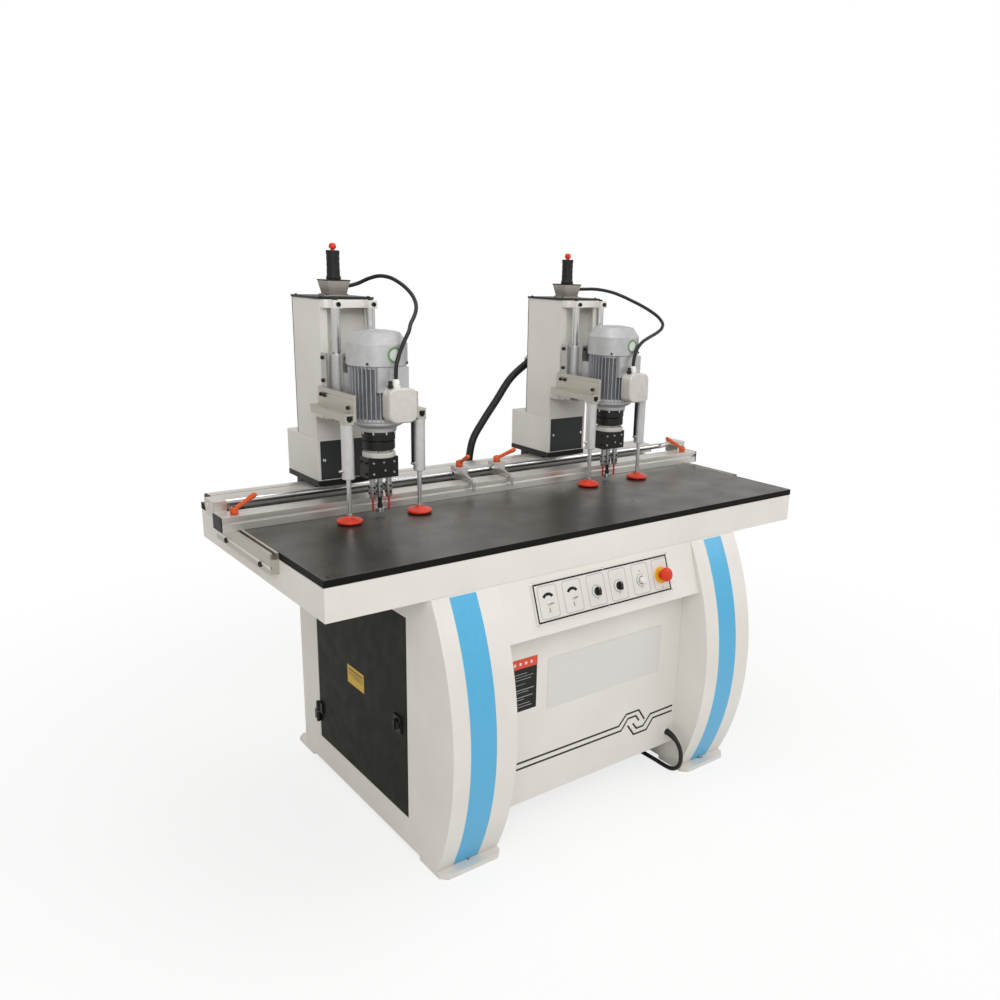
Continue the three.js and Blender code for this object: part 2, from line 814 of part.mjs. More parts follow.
function makeFence() {
  const z = fenceBottom;
  const y = fenceFront;
  const middle = z + fenceHeight / 2;
  const section = outline([
    [y, z], [fenceRear, z], [fenceRear, middle - fenceGroove / 2],
    [fenceRear - fenceGrooveDepth, middle - fenceGroove / 2],
    [fenceRear - fenceGrooveDepth, middle + fenceGroove / 2], [fenceRear, middle + fenceGroove / 2],
    [fenceRear, fenceTop], [y, fenceTop],
    [y, middle + fenceGroove], [y + fenceGrooveDepth, middle + fenceGroove],
    [y + fenceGrooveDepth, middle], [y, middle]]);
  const bar = alongX(section, -fenceHalfLength + fenceCap, fenceHalfLength - fenceCap);
  const caps = [-1, 1].map((side) => {
    const inner = side * (fenceHalfLength - fenceCap - seat / 2);
    const outer = side * fenceHalfLength;
    return box(Math.min(inner, outer), Math.max(inner, outer), y, fenceRear, z, fenceTop);
  });
  const rail = roundX(stopRailRadius, -fenceHalfLength, fenceHalfLength, roundSides,
    stopRailPlace, stopRailHeight);
  const blocks = [-1, 1].map((side) => {
    const inner = side * (fenceHalfLength - fenceCap - endBlockLength);
    const outer = side * (fenceHalfLength - fenceCap);
    return box(Math.min(inner, outer), Math.max(inner, outer), fenceRear - seat,
      stopRailPlace + 1.6 * stopRailRadius, stopRailHeight - 1.5 * stopRailRadius - endBlockHeight / 4,
      stopRailHeight + endBlockHeight / 2 - stopRailRadius / 2);
  });
  const studs = [-1, 1].map((side) => roundZ(leverStudRadius + running, fenceBottom - overrun,
    fenceTop + overrun, coarseSides, side * leverPlace, fenceMiddle));
  return cut(join(bar, caps[0], caps[1], rail, ...blocks), ...studs);
}

// A clamping lever: hub, raised arm and rounded tip, pointing along +X from its own axis
function makeLever(reach, studLength, turn) {
  const hub = turned([[0, 0], [leverHubRadius, 0], [leverHubRadius, leverHubHeight - softEdge],
    [leverHubRadius - softEdge, leverHubHeight], [0, leverHubHeight]], coarseSides);
  const rootZ = leverHubHeight - leverRootRadius - softEdge;
  const length = Math.hypot(reach, leverRise);
  const tipHalf = leverTipRadius / 2;
  const arm = turned([[0, 0], [leverRootRadius, 0], [leverTipRadius, length],
    [leverTipRadius - softEdge, length + tipHalf], [0, length + leverTipRadius]], coarseSides)
    .rotateY(Math.atan2(reach, leverRise)).translate(0, 0, rootZ);
  const stud = roundZ(leverStudRadius, -studLength, seat, coarseSides);
  return join(hub, arm, stud).rotateZ(THREE.MathUtils.degToRad(turn));
}

// Flip stops

function makeStopBlock() {
  const half = stopBlockLength / 2;
  const low = -stopBlockHeight / 2;
  const high = stopBlockHeight / 2;
  const block = easedBlock(-half, half, -stopBlockDepth / 2, stopBlockDepth / 2, low, high);
  const bore = roundX(stopRailRadius + running / 2, -half - overrun, half + overrun, roundSides);
  const stud = roundZ(leverStudRadius + running, stopRailRadius + running, high + overrun, coarseSides);
  const pin = roundX(stopPinRadius, -half - stopPinReach, -half + seat, coarseSides,
    stopPinInset - stopBlockDepth / 2, high - stopPinInset);
  return join(cut(block, bore, stud), pin);
}

// Arm that reaches over the fence and hangs in front of it
function makeStopArm() {
  const fromFence = fenceFront - stopRailPlace;
  const top = fenceTop - stopRailHeight + stopArmOverFence;
  const pivotY = stopPinInset - stopBlockDepth / 2;
  const pivotZ = stopBlockHeight / 2 - stopPinInset;
  const half = stopArmThickness / 2 + stopPinRadius / 2;
  const under = top - stopArmThickness;
  const front = fromFence - stopArmReach - stopArmTip;
  const hook = outline([
    [pivotY + half / 2, pivotZ - half], [pivotY + half, pivotZ], [pivotY + half / 2, pivotZ + half],
    [pivotY - half / 2, pivotZ + half], [front + stopArmTip, top], [front, top - stopArmTip],
    [front, top - stopArmDrop], [front + stopArmTip, top - stopArmDrop],
    [front + stopArmTip, under], [pivotY - 2 * half, under]]);
  const x = -stopBlockLength / 2 - seat;
  const arm = alongX(hook, x - stopArmWidth / 2, x);
  return cut(arm, roundX(stopPinRadius + running / 2, x - stopArmWidth, x + overrun, coarseSides,
    pivotY, pivotZ));
}

// Heads

function makeSaddle() {
  const body = easedBlock(-halfHead, halfHead, saddleFront, saddleRear, saddleBottom, saddleTop);
  const lip = box(-halfHead, halfHead, saddleFront, railFront - running, saddleBottom - saddleLipDrop,
    saddleBottom + saddlePlate);
  const skirt = box(-halfHead, halfHead, railRear + running, saddleRear, saddleBottom - saddleSkirtDrop,
    saddleBottom + saddlePlate);
  const hollow = box(-halfHead + saddlePlate, halfHead - saddlePlate, saddleFront + saddlePlate,
    saddleRear - saddlePlate, saddleBottom + 2 * saddlePlate, saddleTop - 2 * saddlePlate);
  const mouth = box(-halfHead + 3 * saddlePlate, halfHead - 3 * saddlePlate, saddleRear - 2 * saddlePlate,
    saddleRear + overrun, saddleBottom + 4 * saddlePlate, saddleTop - 4 * saddlePlate);
  return cut(join(body, lip, skirt), hollow, mouth);
}

// Column: a channel open to the front, with flanges the guides are bolted to
function makeColumn(withHose) {
  const step = columnBottom + columnStepHeight;
  const profile = outline([
    [columnFront, step], [saddleFront, step], [saddleFront, columnBottom], [columnRear, columnBottom],
    [columnRear, columnTop], [columnFront, columnTop]]);
  const body = alongX(profile, -halfHead, halfHead);
  const hollow = box(-halfHead + columnWall, halfHead - columnWall, columnFront + columnWall,
    columnRear - columnWall, step + columnWall, columnTop - columnWall);
  const mouth = box(-halfHead + columnFlange, halfHead - columnFlange, columnFront - overrun,
    columnFront + 2 * columnWall, step + guideFootHeight, columnTop - guideHeaderHeight);
  const wall = columnRear - columnWall / 2;
  const gland = withHose ? makeElbow(wall, 0, columnGlandZ, elbowTurn)
    : roundY(hoseGlandRadius, wall, columnRear + hoseGlandHeight, coarseSides, 0, columnGlandZ);
  return join(cut(body, hollow, mouth), gland);
}

// Top plate with the folded handle bracket on it
function makeTopPlate() {
  const reach = halfHead + topPlateOverhang;
  const low = columnTop + seat;
  const plate = easedBlock(-reach, reach, columnFront - topPlateOverhang, columnRear + topPlateOverhang,
    low, bracketBottom);
  const top = bracketBottom + bracketHeight;
  const half = bracketWidth / 2;
  const flange = box(-bracketFlange / 2, bracketFlange / 2, handlePlace - half, handlePlace + half,
    bracketBottom - seat, bracketBottom + bracketSheet);
  const neck = box(-half, half, handlePlace - half, handlePlace + half, bracketBottom, top + seat);
  const spread = bracketFlare / 2;
  const flare = box(-spread, spread, handlePlace - spread, handlePlace + spread, top, top + bracketSheet);
  const inside = box(-half + bracketSheet, half - bracketSheet, handlePlace - half - overrun,
    handlePlace + half + overrun, bracketBottom + bracketSheet, top - bracketSheet);
  const leadBoss = roundX(leadGlandRadius, half - bracketSheet - seat, half + leadGlandLength, coarseSides,
    handlePlace, top - bracketHeight / 3);
  const wireWay = roundZ(thumbStemRadius + running, top - 2 * bracketSheet, top + overrun, coarseSides,
    0, handlePlace);
  return cut(join(plate, flange, cut(neck, inside), flare, leadBoss), wireWay);
}

function makeGrip() {
  const collarTop = gripBottom + gripCollarHeight;
  const profile = [[0, gripBottom], [gripCollarRadius, gripBottom], [gripCollarRadius, collarTop - softEdge],
    [gripRadius, collarTop], [gripWaist, gripBottom + gripHeight / 2],
    [gripRadius, gripTop - gripCollarHeight], [gripRadius, gripTop - softEdge],
    [gripRadius - softEdge, gripTop], [0, gripTop]];
  const bore = roundZ(thumbStemRadius + running, gripBottom - overrun, gripTop + overrun, coarseSides,
    0, handlePlace);
  return cut(turned(profile, roundSides, 0, handlePlace), bore);
}

function makeThumbButton() {
  const low = gripTop + thumbTravel + seat;
  const top = low + thumbHeight - thumbTravel;
  const cap = turned([[0, low], [thumbRadius, low], [thumbRadius, top - 2 * softEdge],
    [thumbRadius - softEdge, top - softEdge / 2], [thumbRadius / 2, top], [0, top]], roundSides,
  0, handlePlace);
  const stem = roundZ(thumbStemRadius, gripTop - gripHeight / 3, low + seat, coarseSides, 0, handlePlace);
  return join(cap, stem);
}

// Two chromed guide rods held by a header and a foot bar
function makeGuides() {
  const rear = columnFront - seat;
  const bar = (low, high) =>
    easedBlock(-halfHead + softEdge, halfHead - softEdge, guideBlockFront, rear, low, high);
  const header = bar(columnTop - guideHeaderHeight, columnTop - seat);
  const foot = bar(guideFootBottom, guideFootBottom + guideFootHeight);
  const rods = [-halfGuide, halfGuide].map((x) =>
    roundZ(guideRadius, guideFootBottom + seat, columnTop - guideHeaderHeight + seat, roundSides,
      x, guidePlace));
  const bolts = [-halfGuide, halfGuide].map((x) =>
    roundZ(guideBoltRadius, columnTop - 2 * seat, columnTop + guideBoltHeight, coarseSides,
      x, guidePlace));
  return join(header, foot, ...rods, ...bolts);
}

// Carriage: motor plate, two bored bearing pillars and side plates for the clamps
function makeCarriage() {
  const plateRear = carriagePlateFront + carriagePlateThickness;
  const plate = easedBlock(-carriageHalfWidth, carriageHalfWidth, carriagePlateFront, plateRear,
    carriageBottom, carriageTop);
  const bearings = [-halfGuide, halfGuide].map((x) => join(
    roundZ(bearingRadius, bearingBottom, bearingTop, roundSides, x, guidePlace),
    box(x - bearingRadius, x + bearingRadius, plateRear - seat, guidePlace, bearingBottom, bearingTop)));
  const sides = [-1, 1].map((side) => {
    const inner = side * (carriageHalfWidth - sidePlateThickness);
    const outer = side * carriageHalfWidth;
    return box(Math.min(inner, outer), Math.max(inner, outer), plateRear - seat, sidePlateRear,
      sidePlateBottom, carriageTop - softEdge);
  });
  const web = box(-carriageHalfWidth + seat, carriageHalfWidth - seat,
    plateRear - seat, plateRear + bearingWeb, bearingTop - bearingWeb, bearingTop);
  const bores = [-halfGuide, halfGuide].map((x) =>
    roundZ(guideRadius + running / 2, bearingBottom - overrun, bearingTop + overrun, roundSides,
      x, guidePlace));
  return cut(join(plate, ...bearings, ...sides, web), ...bores);
}

// Cross-section of the stator: straight cooling fins all round
function finnedOutline() {
  const points = [];
  for (let i = 0; i < finCount; i += 1) {
    const angle = 2 * Math.PI * i / finCount;
    for (const [radius, across] of [[statorRadius, -1], [finRadius, -1], [finRadius, 1], [statorRadius, 1]]) {
      const shift = across * finThickness / 2;
      points.push([radius * Math.cos(angle) - shift * Math.sin(angle),
        radius * Math.sin(angle) + shift * Math.cos(angle)]);
    }
  }
  return outline(points);
}

// Motor: finned stator, end bell, rear foot pad and terminal box
function makeMotor() {
  const bodyTop = cowlBottom + seat;
  const stator = alongZ(finnedOutline(), motorBottom, bodyTop).translate(0, spindlePlace, 0);
  const bell = turned([[0, bellBottom], [bellNeckRadius, bellBottom],
    [bellNeckRadius + softEdge, bellShoulder], [bellRadius - softEdge, bellShoulder + bellRim],
    [bellRadius, motorBottom + softEdge], [0, motorBottom + softEdge]], roundSides, 0, spindlePlace);
  const padMiddle = (motorBottom + bodyTop) / 2;
  const pad = box(-motorFootWidth / 2, motorFootWidth / 2, spindlePlace + statorRadius / 2,
    carriagePlateFront - seat, padMiddle - motorFootHeight / 2, padMiddle + motorFootHeight / 2);
  return join(stator, bell, pad, makeTerminalBox(), makeCowl());
}

function makeTerminalBox() {
  const left = terminalShift - terminalWidth / 2;
  const right = left + terminalWidth;
  const top = terminalBottom + terminalHeight;
  const rear = spindlePlace - statorRadius / 2;
  const shellRear = terminalFront + terminalDepth;
  const corner = terminalCorner;
  const face = (inset) => outline([
    [left + inset + corner, terminalBottom + inset], [right - inset - corner, terminalBottom + inset],
    [right - inset, terminalBottom + inset + corner], [right - inset, top - inset - corner],
    [right - inset - corner, top - inset], [left + inset + corner, top - inset],
    [left + inset, top - inset - corner], [left + inset, terminalBottom + inset + corner]]);
  const lid = alongY(face(0), terminalFront, terminalFront + terminalLid);
  const joint = alongY(face(terminalGroove), terminalFront + terminalLid - seat,
    terminalFront + terminalLid + terminalGroove);
  const shell = alongY(face(0), terminalFront + terminalLid + terminalGroove - seat, shellRear);
  const neck = box(left + corner, right - corner, shellRear - seat, rear,
    terminalBottom + corner, top - corner);
  const middleY = (terminalFront + shellRear) / 2;
  const gland = roundZ(glandRadius, top - seat, top + glandHeight, coarseSides,
    terminalShift + glandShift, middleY);
  const plug = roundZ(plugRadius, top - seat, top + plugHeight, coarseSides,
    terminalShift + plugShift, middleY);
  return join(lid, joint, shell, neck, gland, plug);
}

// Fan cowl: a domed cup with a ring of air holes
function makeCowl() {
  const inner = cowlRadius - cowlWall;
  const cup = turned([[0, cowlBottom], [cowlRadius, cowlBottom], [cowlRadius, cowlShoulder],
    [cowlRadius - cowlCrown / 2, cowlTop - cowlCrown], [cowlRimRadius, cowlTop], [0, cowlTop]],
  fineSides, 0, spindlePlace);
  const room = turned([[0, cowlBottom + cowlWall], [inner, cowlBottom + cowlWall],
    [inner, cowlShoulder - cowlWall], [cowlRimRadius, cowlTop - cowlWall], [0, cowlTop - cowlWall]],
  roundSides, 0, spindlePlace);
  const holes = [];
  for (const [ringShare, count] of cowlHoleShares) {
    for (let i = 0; i < count; i += 1) {
      const angle = 2 * Math.PI * i / count;
      const reach = ringShare * cowlRimRadius;
      holes.push(roundZ(cowlHoleRadius, cowlTop - 2 * overrun, cowlTop + overrun, cowlHoleSides,
        reach * Math.cos(angle), spindlePlace + reach * Math.sin(angle)));
    }
  }
  return cut(cup, room, ...holes);
}

// Drive ring, silver flange and the black three-spindle gearbox in one housing
function makeGearbox() {
  const ring = turned([[0, ringBottom], [ringRadius, ringBottom], [ringRadius, ringBottom + ringHeight / 3],
    [ringRadius - ringNotch, ringBottom + ringHeight / 3 + ringNotch],
    [ringRadius - ringNotch, ringBottom + 2 * ringHeight / 3 - ringNotch],
    [ringRadius, ringBottom + 2 * ringHeight / 3], [ringRadius, ringTop - softEdge],
    [ringRadius - softEdge, ringTop], [0, ringTop]], roundSides, 0, spindlePlace);
  const flange = turned([[0, flangeBottom], [flangeRadius - 2 * softEdge, flangeBottom],
    [flangeRadius, flangeBottom + 2 * softEdge], [flangeRadius, ringBottom + seat], [0, ringBottom + seat]],
  roundSides, 0, spindlePlace);
  const block = easedBlock(-gearboxWidth / 2, gearboxWidth / 2, spindlePlace - gearboxDepth / 2,
    spindlePlace + gearboxDepth / 2, gearboxBottom, flangeBottom + seat);
  const bores = spindleOffsets().map(([x, y]) =>
    roundZ(journalRadius + running, gearboxBottom - overrun, gearboxBottom + journalHeight + running,
      coarseSides, x, spindlePlace + y));
  return cut(join(ring, flange, block), ...bores);
}

function spindleOffsets() {
  return [[0, 0], [-spindlePitch, -sideBitSetback], [spindlePitch, -sideBitSetback]];
}

// A spindle in its own axis: journal, bit sleeve and the bit it holds
function makeSpindle(isCentre) {
  const journal = roundZ(journalRadius, sleeveTop - seat, sleeveTop + journalHeight, coarseSides);
  const sleeve = turned([[0, sleeveBottom], [sleeveRadius - sleeveNose, sleeveBottom],
    [sleeveRadius, sleeveBottom + sleeveNose], [sleeveRadius, sleeveTop], [0, sleeveTop]], coarseSides);
  const flat = box(sleeveRadius - softEdge, sleeveRadius + overrun, -sleeveNose, sleeveNose,
    sleeveBottom + sleeveHeight / 3, sleeveBottom + sleeveHeight / 2);
  const bit = isCentre ? makeCupBit() : makeDowelBit();
  return join(journal, cut(sleeve, flat), bit);
}

function makeCupBit() {
  const top = bitHeight + cupSpur + cupHeight;
  const shank = roundZ(cupShankRadius, bitHeight + 2 * cupSpur, sleeveBottom + seat, coarseSides);
  const cutter = roundZ(cupRadius, bitHeight + cupSpur, top, roundSides);
  const gullets = [0, 1].map((half) =>
    box(cupShankRadius, cupRadius + overrun, 0, cupShankRadius, bitHeight - overrun, top + overrun)
      .rotateZ(half * Math.PI));
  const point = turned([[0, bitHeight], [softEdge, bitHeight + cupSpur], [softEdge, bitHeight + 2 * cupSpur],
    [0, bitHeight + 2 * cupSpur]], coarseSides);
  const spurs = [0, 1].map((half) =>
    box(cupRadius - cupSpur, cupRadius - softEdge, -cupSpur, -seat, bitHeight + seat, bitHeight + 2 * cupSpur)
      .rotateZ(half * Math.PI));
  return join(shank, cut(cutter, ...gullets), point, ...spurs);
}

function makeDowelBit() {
  const tip = bitHeight + cupSpur;
  return turned([[0, tip], [dowelBitRadius, tip + 2 * dowelBitRadius], [dowelBitRadius, sleeveBottom + seat],
    [0, sleeveBottom + seat]], coarseSides);
}

// Clamp bar (angle with a T-slot foot) and the air cylinder hanging from its front end
function makeClamp(side) {
  const web = side * clampFace;
  const webOuter = web + side * clampWebThickness;
  const footOuter = web + side * clampBarWidth;
  const low = clampBarTop - clampBarHeight;
  const slotX = side * clampX;
  const half = slotWidth / 2;
  const inner = slotInnerWidth / 2;
  const section = [
    [web, low], [slotX - side * half, low], [slotX - side * half, low + slotLip],
    [slotX - side * inner, low + slotLip], [slotX - side * inner, low + slotLip + slotDepth],
    [slotX + side * inner, low + slotLip + slotDepth], [slotX + side * inner, low + slotLip],
    [slotX + side * half, low + slotLip], [slotX + side * half, low], [footOuter, low],
    [footOuter, clampBarTop], [webOuter, clampBarTop], [webOuter, clampBarTop + clampWebHeight],
    [web, clampBarTop + clampWebHeight]];
  const bar = alongY(outline(side > 0 ? section : section.reverse()), clampBarFront, clampBarRear);
  const x = slotX;
  const topCap = barrelTop - barrelCapHeight;
  const lowCap = barrelBottom + barrelCapHeight;
  const barrel = turned([[0, barrelBottom], [barrelCornerRadius, barrelBottom],
    [barrelCapRadius, barrelBottom + softEdge], [barrelCapRadius, lowCap], [barrelRadius, lowCap],
    [barrelRadius, topCap], [barrelCapRadius, topCap], [barrelCapRadius, barrelTop], [0, barrelTop]],
  roundSides, x, clampPlace);
  const stud = roundZ(clampRodRadius - softEdge, barrelTop - seat, low + slotLip + seat, coarseSides,
    x, clampPlace);
  const shoe = box(x - barrelCornerRadius, x + barrelCornerRadius, clampPlace - barrelRadius,
    clampPlace + barrelRadius, barrelTop - seat, low + seat);
  const bore = roundZ(clampRodRadius + running / 2, barrelBottom - overrun,
    barrelBottom + clampRodOverlap + clampStroke + running, roundSides, x, clampPlace);
  return cut(join(bar, barrel, stud, shoe), bore);
}

// Clamp foot: chromed rod with a red pad
function makeClampFoot(side) {
  const x = side * clampX;
  const top = padBottom + padHeight;
  return turned([[0, padBottom], [padRadius - padUnderCut, padBottom], [padRadius, padBottom + padUnderCut],
    [padRadius, padBottom + padEdge], [padNeckRadius, top], [clampRodRadius, top],
    [clampRodRadius, barrelBottom + clampRodOverlap],
    [0, barrelBottom + clampRodOverlap]], roundSides, x, clampPlace);
}

// Motor leads, from the gland on the handle bracket to the terminal box
const leadEnd = [terminalShift + glandShift, terminalFront + terminalDepth / 2,
  terminalBottom + terminalHeight + glandHeight + seat];
const leadStart = [bracketWidth / 2 + leadGlandLength + seat, handlePlace,
  bracketBottom + bracketHeight - bracketHeight / 3];
const leadRoutes = [
  [[67, 641, 600], [90, 620, 614], [108, 592, 622], [124, 562, 619], [136, 532, 607], [144, 503, 591],
    [145, 474, 573], [137, 445, 555], [122, 419, 539], [102, 395, 524], [80, 374, 508], [60, 349, 491],
    [38, 333, 469], [20, 325, 442], [7, 321, 410]],
  [[67, 640, 594], [92, 618, 595], [114, 593, 592], [136, 568, 585], [158, 545, 574],
    [181, 525, 561], [204, 504, 547], [225, 483, 531], [239, 459, 513], [235, 433, 494],
    [212, 413, 480], [183, 398, 471], [153, 385, 464], [122, 372, 458], [92, 359, 452],
    [62, 346, 444], [34, 333, 431], [12, 323, 408]],
];

function makeLead(route) {
  const start = [leadStart, [leadStart[0] + cordLead, leadStart[1], leadStart[2]]];
  const end = [[leadEnd[0], leadEnd[1], leadEnd[2] + cordLead], leadEnd];
  return tubeAlong([...start, ...route, ...end], leadRadius, cordSides, leadSteps);
}

// Hose behind the right column, down to the back of the cabinet
const elbowMouth = elbowArm + seat;
const hoseStart = [headPlaces[1] + elbowMouth * Math.sin(elbowTurn), hosePlane,
  tableHeight + columnGlandZ + elbowMouth * Math.cos(elbowTurn)];
const hoseRoute = [
  [276, 812, 1136], [216, 812, 1062], [162, 812, 995], [124, 812, 940], [110, 812, 890], [105, 812, 830],
  [104, 812, 760], [104, 812, 690]];
const hoseEnd = [hoseGlandX, hosePlane, hoseGlandZ + elbowMouth];

function makeHose() {
  const start = [hoseStart, [hoseStart[0] + cordLead * Math.sin(elbowTurn), hoseStart[1],
    hoseStart[2] + cordLead * Math.cos(elbowTurn)]];
  const end = [[hoseEnd[0], hoseEnd[1], hoseEnd[2] + cordLead], hoseEnd];
  return tubeAlong([...start, ...hoseRoute, ...end], hoseRadius, hoseSides, hoseSteps);
}

// Mains cable: out of the front panel, back under the cabinet, coiled behind the machine
const coilOuterRadius = coilInnerRadius + coilTurns * coilPitch;
const mainsStart = [mainsExitX, panelSetback - mainsGlandHeight - seat, mainsExitZ];
const mainsEnd = [coilX + coilOuterRadius, coilY - 2 * mainsRadius - seat, mainsRadius];
const mainsRoute = [
  [313, -17.3, 129.4], [315, -36.7, 116.4], [317, -49.7, 97], [319, -54.3, 70.5], [321, -49.7, 44],
  [322, -36.7, 24.6], [324, -17.3, 11.6], [325, 5.7, 7], [325, 60, 7], [322, 200, 7],
  [317, 360, 7], [311, 520, 7], [303, 680, 7], [294, 800, 7], [286, 900, 7]];

function makeMainsCable() {
  const start = [mainsStart, [mainsStart[0], mainsStart[1] - cordLead, mainsStart[2]]];
  const end = [[mainsEnd[0], mainsEnd[1] - cordLead, mainsEnd[2]], mainsEnd];
  return tubeAlong([...start, ...mainsRoute, ...end], mainsRadius, cordSides, mainsSteps);
}

// Centre line of the coil: the lower layer winds in, the upper layer back out
function coilPath() {
  const stepTurn = 2 * Math.PI / loopSteps;
  const layerSteps = coilTurns * loopSteps;
  const climbSteps = loopSteps / 2;
  const total = 2 * layerSteps + climbSteps;
  const points = [new THREE.Vector3(coilX + coilOuterRadius, coilY - 2 * mainsRadius, mainsRadius)];
  for (let i = 0; i <= total; i += 1) {
    const inward = Math.min(i, layerSteps);
    const outward = Math.max(0, i - layerSteps - climbSteps);
    const climb = Math.min(Math.max((i - layerSteps) / climbSteps, 0), 1);
    const radius = coilOuterRadius - coilPitch * (inward - outward) / loopSteps;
    const angle = i * stepTurn;
    points.push(new THREE.Vector3(coilX + radius * Math.cos(angle), coilY + radius * Math.sin(angle),
      mainsRadius + coilPitch * climb));
  }
  const last = points[points.length - 1];
  points.push(new THREE.Vector3(last.x, last.y - coilTail, last.z));
  return points;
}

// A tube swept along points that lie nearly level, with its flats kept upright
function sweep(points, radius, sides) {
  const positions = [];
  const up = new THREE.Vector3(0, 0, 1);
  points.forEach((point, i) => {
    const ahead = points[Math.min(i + 1, points.length - 1)];
    const behind = points[Math.max(i - 1, 0)];
    const forward = ahead.clone().sub(behind).normalize();
    const across = forward.clone().cross(up).normalize();
    const lift = across.clone().cross(forward);
    for (let k = 0; k < sides; k += 1) {
      const angle = 2 * Math.PI * (k + 1 / 2) / sides;
      const spoke = point.clone().addScaledVector(across, radius * Math.cos(angle))
        .addScaledVector(lift, radius * Math.sin(angle));
      positions.push(spoke.x, spoke.y, spoke.z);
    }
  });
  const faces = [];
  for (let i = 0; i < points.length - 1; i += 1) {
    for (let k = 0; k < sides; k += 1) {
      const next = (k + 1) % sides;
      const [a, b] = [i * sides + k, i * sides + next];
      faces.push(a, b + sides, b, a, a + sides, b + sides);
    }
  }
  const lastRing = (points.length - 1) * sides;
  for (let k = 1; k < sides - 1; k += 1) {
    faces.push(0, k, k + 1, lastRing, lastRing + k + 1, lastRing + k);
  }
  const body = new THREE.BufferGeometry();
  body.setAttribute('position', new THREE.Float32BufferAttribute(positions, 3));
  body.setIndex(faces);
  return body;
}

// Least gap between two loops of the coil, measured on points of its centre line
function coilGap(points) {
  const apart = loopSteps / 2;
  let least = Infinity;
  points.forEach((point, i) => {
    for (let j = i + apart; j < points.length; j += 1) {
      least = Math.min(least, point.distanceTo(points[j]) - 2 * mainsRadius);
    }
  });
  return least;
}

function makePlug() {
  const noseStart = plugNutLength + plugBodyLength;
  const noseEnd = noseStart + plugNoseLength;
  const shell = turned([[0, 0], [plugNutRadius, 0], [plugNutRadius, plugNutLength],
    [plugBodyRadius, plugNutLength + plugWall], [plugBodyRadius, noseStart],
    [plugNoseRadius, noseStart + plugWall], [plugNoseRadius, noseEnd], [0, noseEnd]]);
  const mouth = roundZ(plugNoseRadius - plugWall, noseEnd - plugPinLength - plugWall, noseEnd + overrun);
  const pins = Array.from({ length: plugPinCount }, (_, i) => {
    const angle = 2 * Math.PI * i / plugPinCount;
    return roundZ(plugPinRadius, noseEnd - plugPinLength - 2 * plugWall, noseEnd - plugWall, coilSides,
      plugPinRing * Math.cos(angle), plugPinRing * Math.sin(angle));
  });
  return join(cut(shell, mouth), ...pins).rotateX(Math.PI / 2);
}

// Assembly

add(machine, 'base_cabinet', makeCabinet(), finishes.paint);
add(machine, 'left_leg', join(makeLeg(-halfBase), ...makeDoorPins()), finishes.paint);
add(machine, 'right_leg', makeLeg(legInner), finishes.paint);
add(machine, 'service_door', makeDoor(), finishes.black);
add(machine, 'door_latch', makeLatch(), finishes.black);
add(machine, 'table_frame', makeTableFrame(), finishes.paint);
add(machine, 'table_top', makeBoard(), finishes.board);
add(upper, 'head_rail', makeRail(), finishes.aluminium);

add(controls, 'control_panel', makePanel(), finishes.paint);
add(controls, 'left_selector', makeSelector(selectorLeft), finishes.black);
add(controls, 'right_selector', makeSelector(selectorRight), finishes.black);
add(controls, 'start_button', makeStart(), finishes.paint);
add(controls, 'emergency_stop', makeStop(), finishes.red);

add(upper, 'fence', makeFence(), finishes.aluminium);
['left', 'right'].forEach((side, i) => {
  const studLength = fenceHeight + slotLip + leverStudReach;
  const lever = makeLever(leverReach, studLength, fenceLeverTurns[i]);
  lever.translate((2 * i - 1) * leverPlace, fenceMiddle, fenceTop + seat);
  add(upper, `${side}_fence_lever`, lever, finishes.orange);

  const stop = new THREE.Group();
  stop.position.set(stopPlaces[i], stopRailPlace, stopRailHeight);
  upper.add(stop);
  add(stop, `${side}_stop_block`, makeStopBlock(), finishes.aluminium);
  add(stop, `${side}_stop_arm`, makeStopArm(), finishes.aluminium);
  const reachDown = stopBlockHeight / 2 - stopRailRadius - running;
  const stopLever = makeLever(stopLeverReach, reachDown, stopLeverTurns[i]);
  add(stop, `${side}_stop_lever`, stopLever.translate(0, 0, stopBlockHeight / 2 + seat), finishes.orange);

  const head = new THREE.Group();
  head.position.x = headPlaces[i];
  upper.add(head);
  add(head, `${side}_saddle`, makeSaddle(), finishes.paint);
  add(head, `${side}_column`, makeColumn(side === 'right'), finishes.paint);
  add(head, `${side}_top_plate`, makeTopPlate(), finishes.black);
  add(head, `${side}_grip`, makeGrip(), finishes.black);
  add(head, `${side}_thumb_button`, makeThumbButton(), finishes.red);
  add(head, `${side}_guides`, makeGuides(), finishes.steel);
  add(head, `${side}_carriage`, makeCarriage(), finishes.aluminium);
  add(head, `${side}_motor`, makeMotor(), finishes.casting);
  add(head, `${side}_gearbox`, makeGearbox(), finishes.black);
  ['centre', 'outer', 'inner'].forEach((place, k) => {
    const [x, y] = spindleOffsets()[k];
    const spindle = makeSpindle(k === 0).translate(x, spindlePlace + y, 0);
    add(head, `${side}_${place}_spindle`, spindle, finishes.steel);
  });
  ['a', 'b'].forEach((letter, k) => {
    add(head, `${side}_clamp_${letter}`, makeClamp(2 * k - 1), finishes.aluminium);
    add(head, `${side}_clamp_foot_${letter}`, makeClampFoot(2 * k - 1), finishes.red);
  });
  add(head, `${side}_motor_lead`, makeLead(leadRoutes[i]), finishes.black);
});

add(machine, 'air_hose', makeHose(), finishes.black);
add(machine, 'mains_cable', makeMainsCable(), finishes.black);
const coil = coilPath();
console.log(`mains coil, least gap to itself: ${coilGap(coil).toFixed(2)} mm`);
add(machine, 'mains_coil', sweep(coil, mainsRadius, coilSides), finishes.black);
const coilEnd = coil[coil.length - 1];
add(machine, 'mains_plug', makePlug().translate(coilEnd.x, coilEnd.y - seat, coilEnd.z), finishes.black);

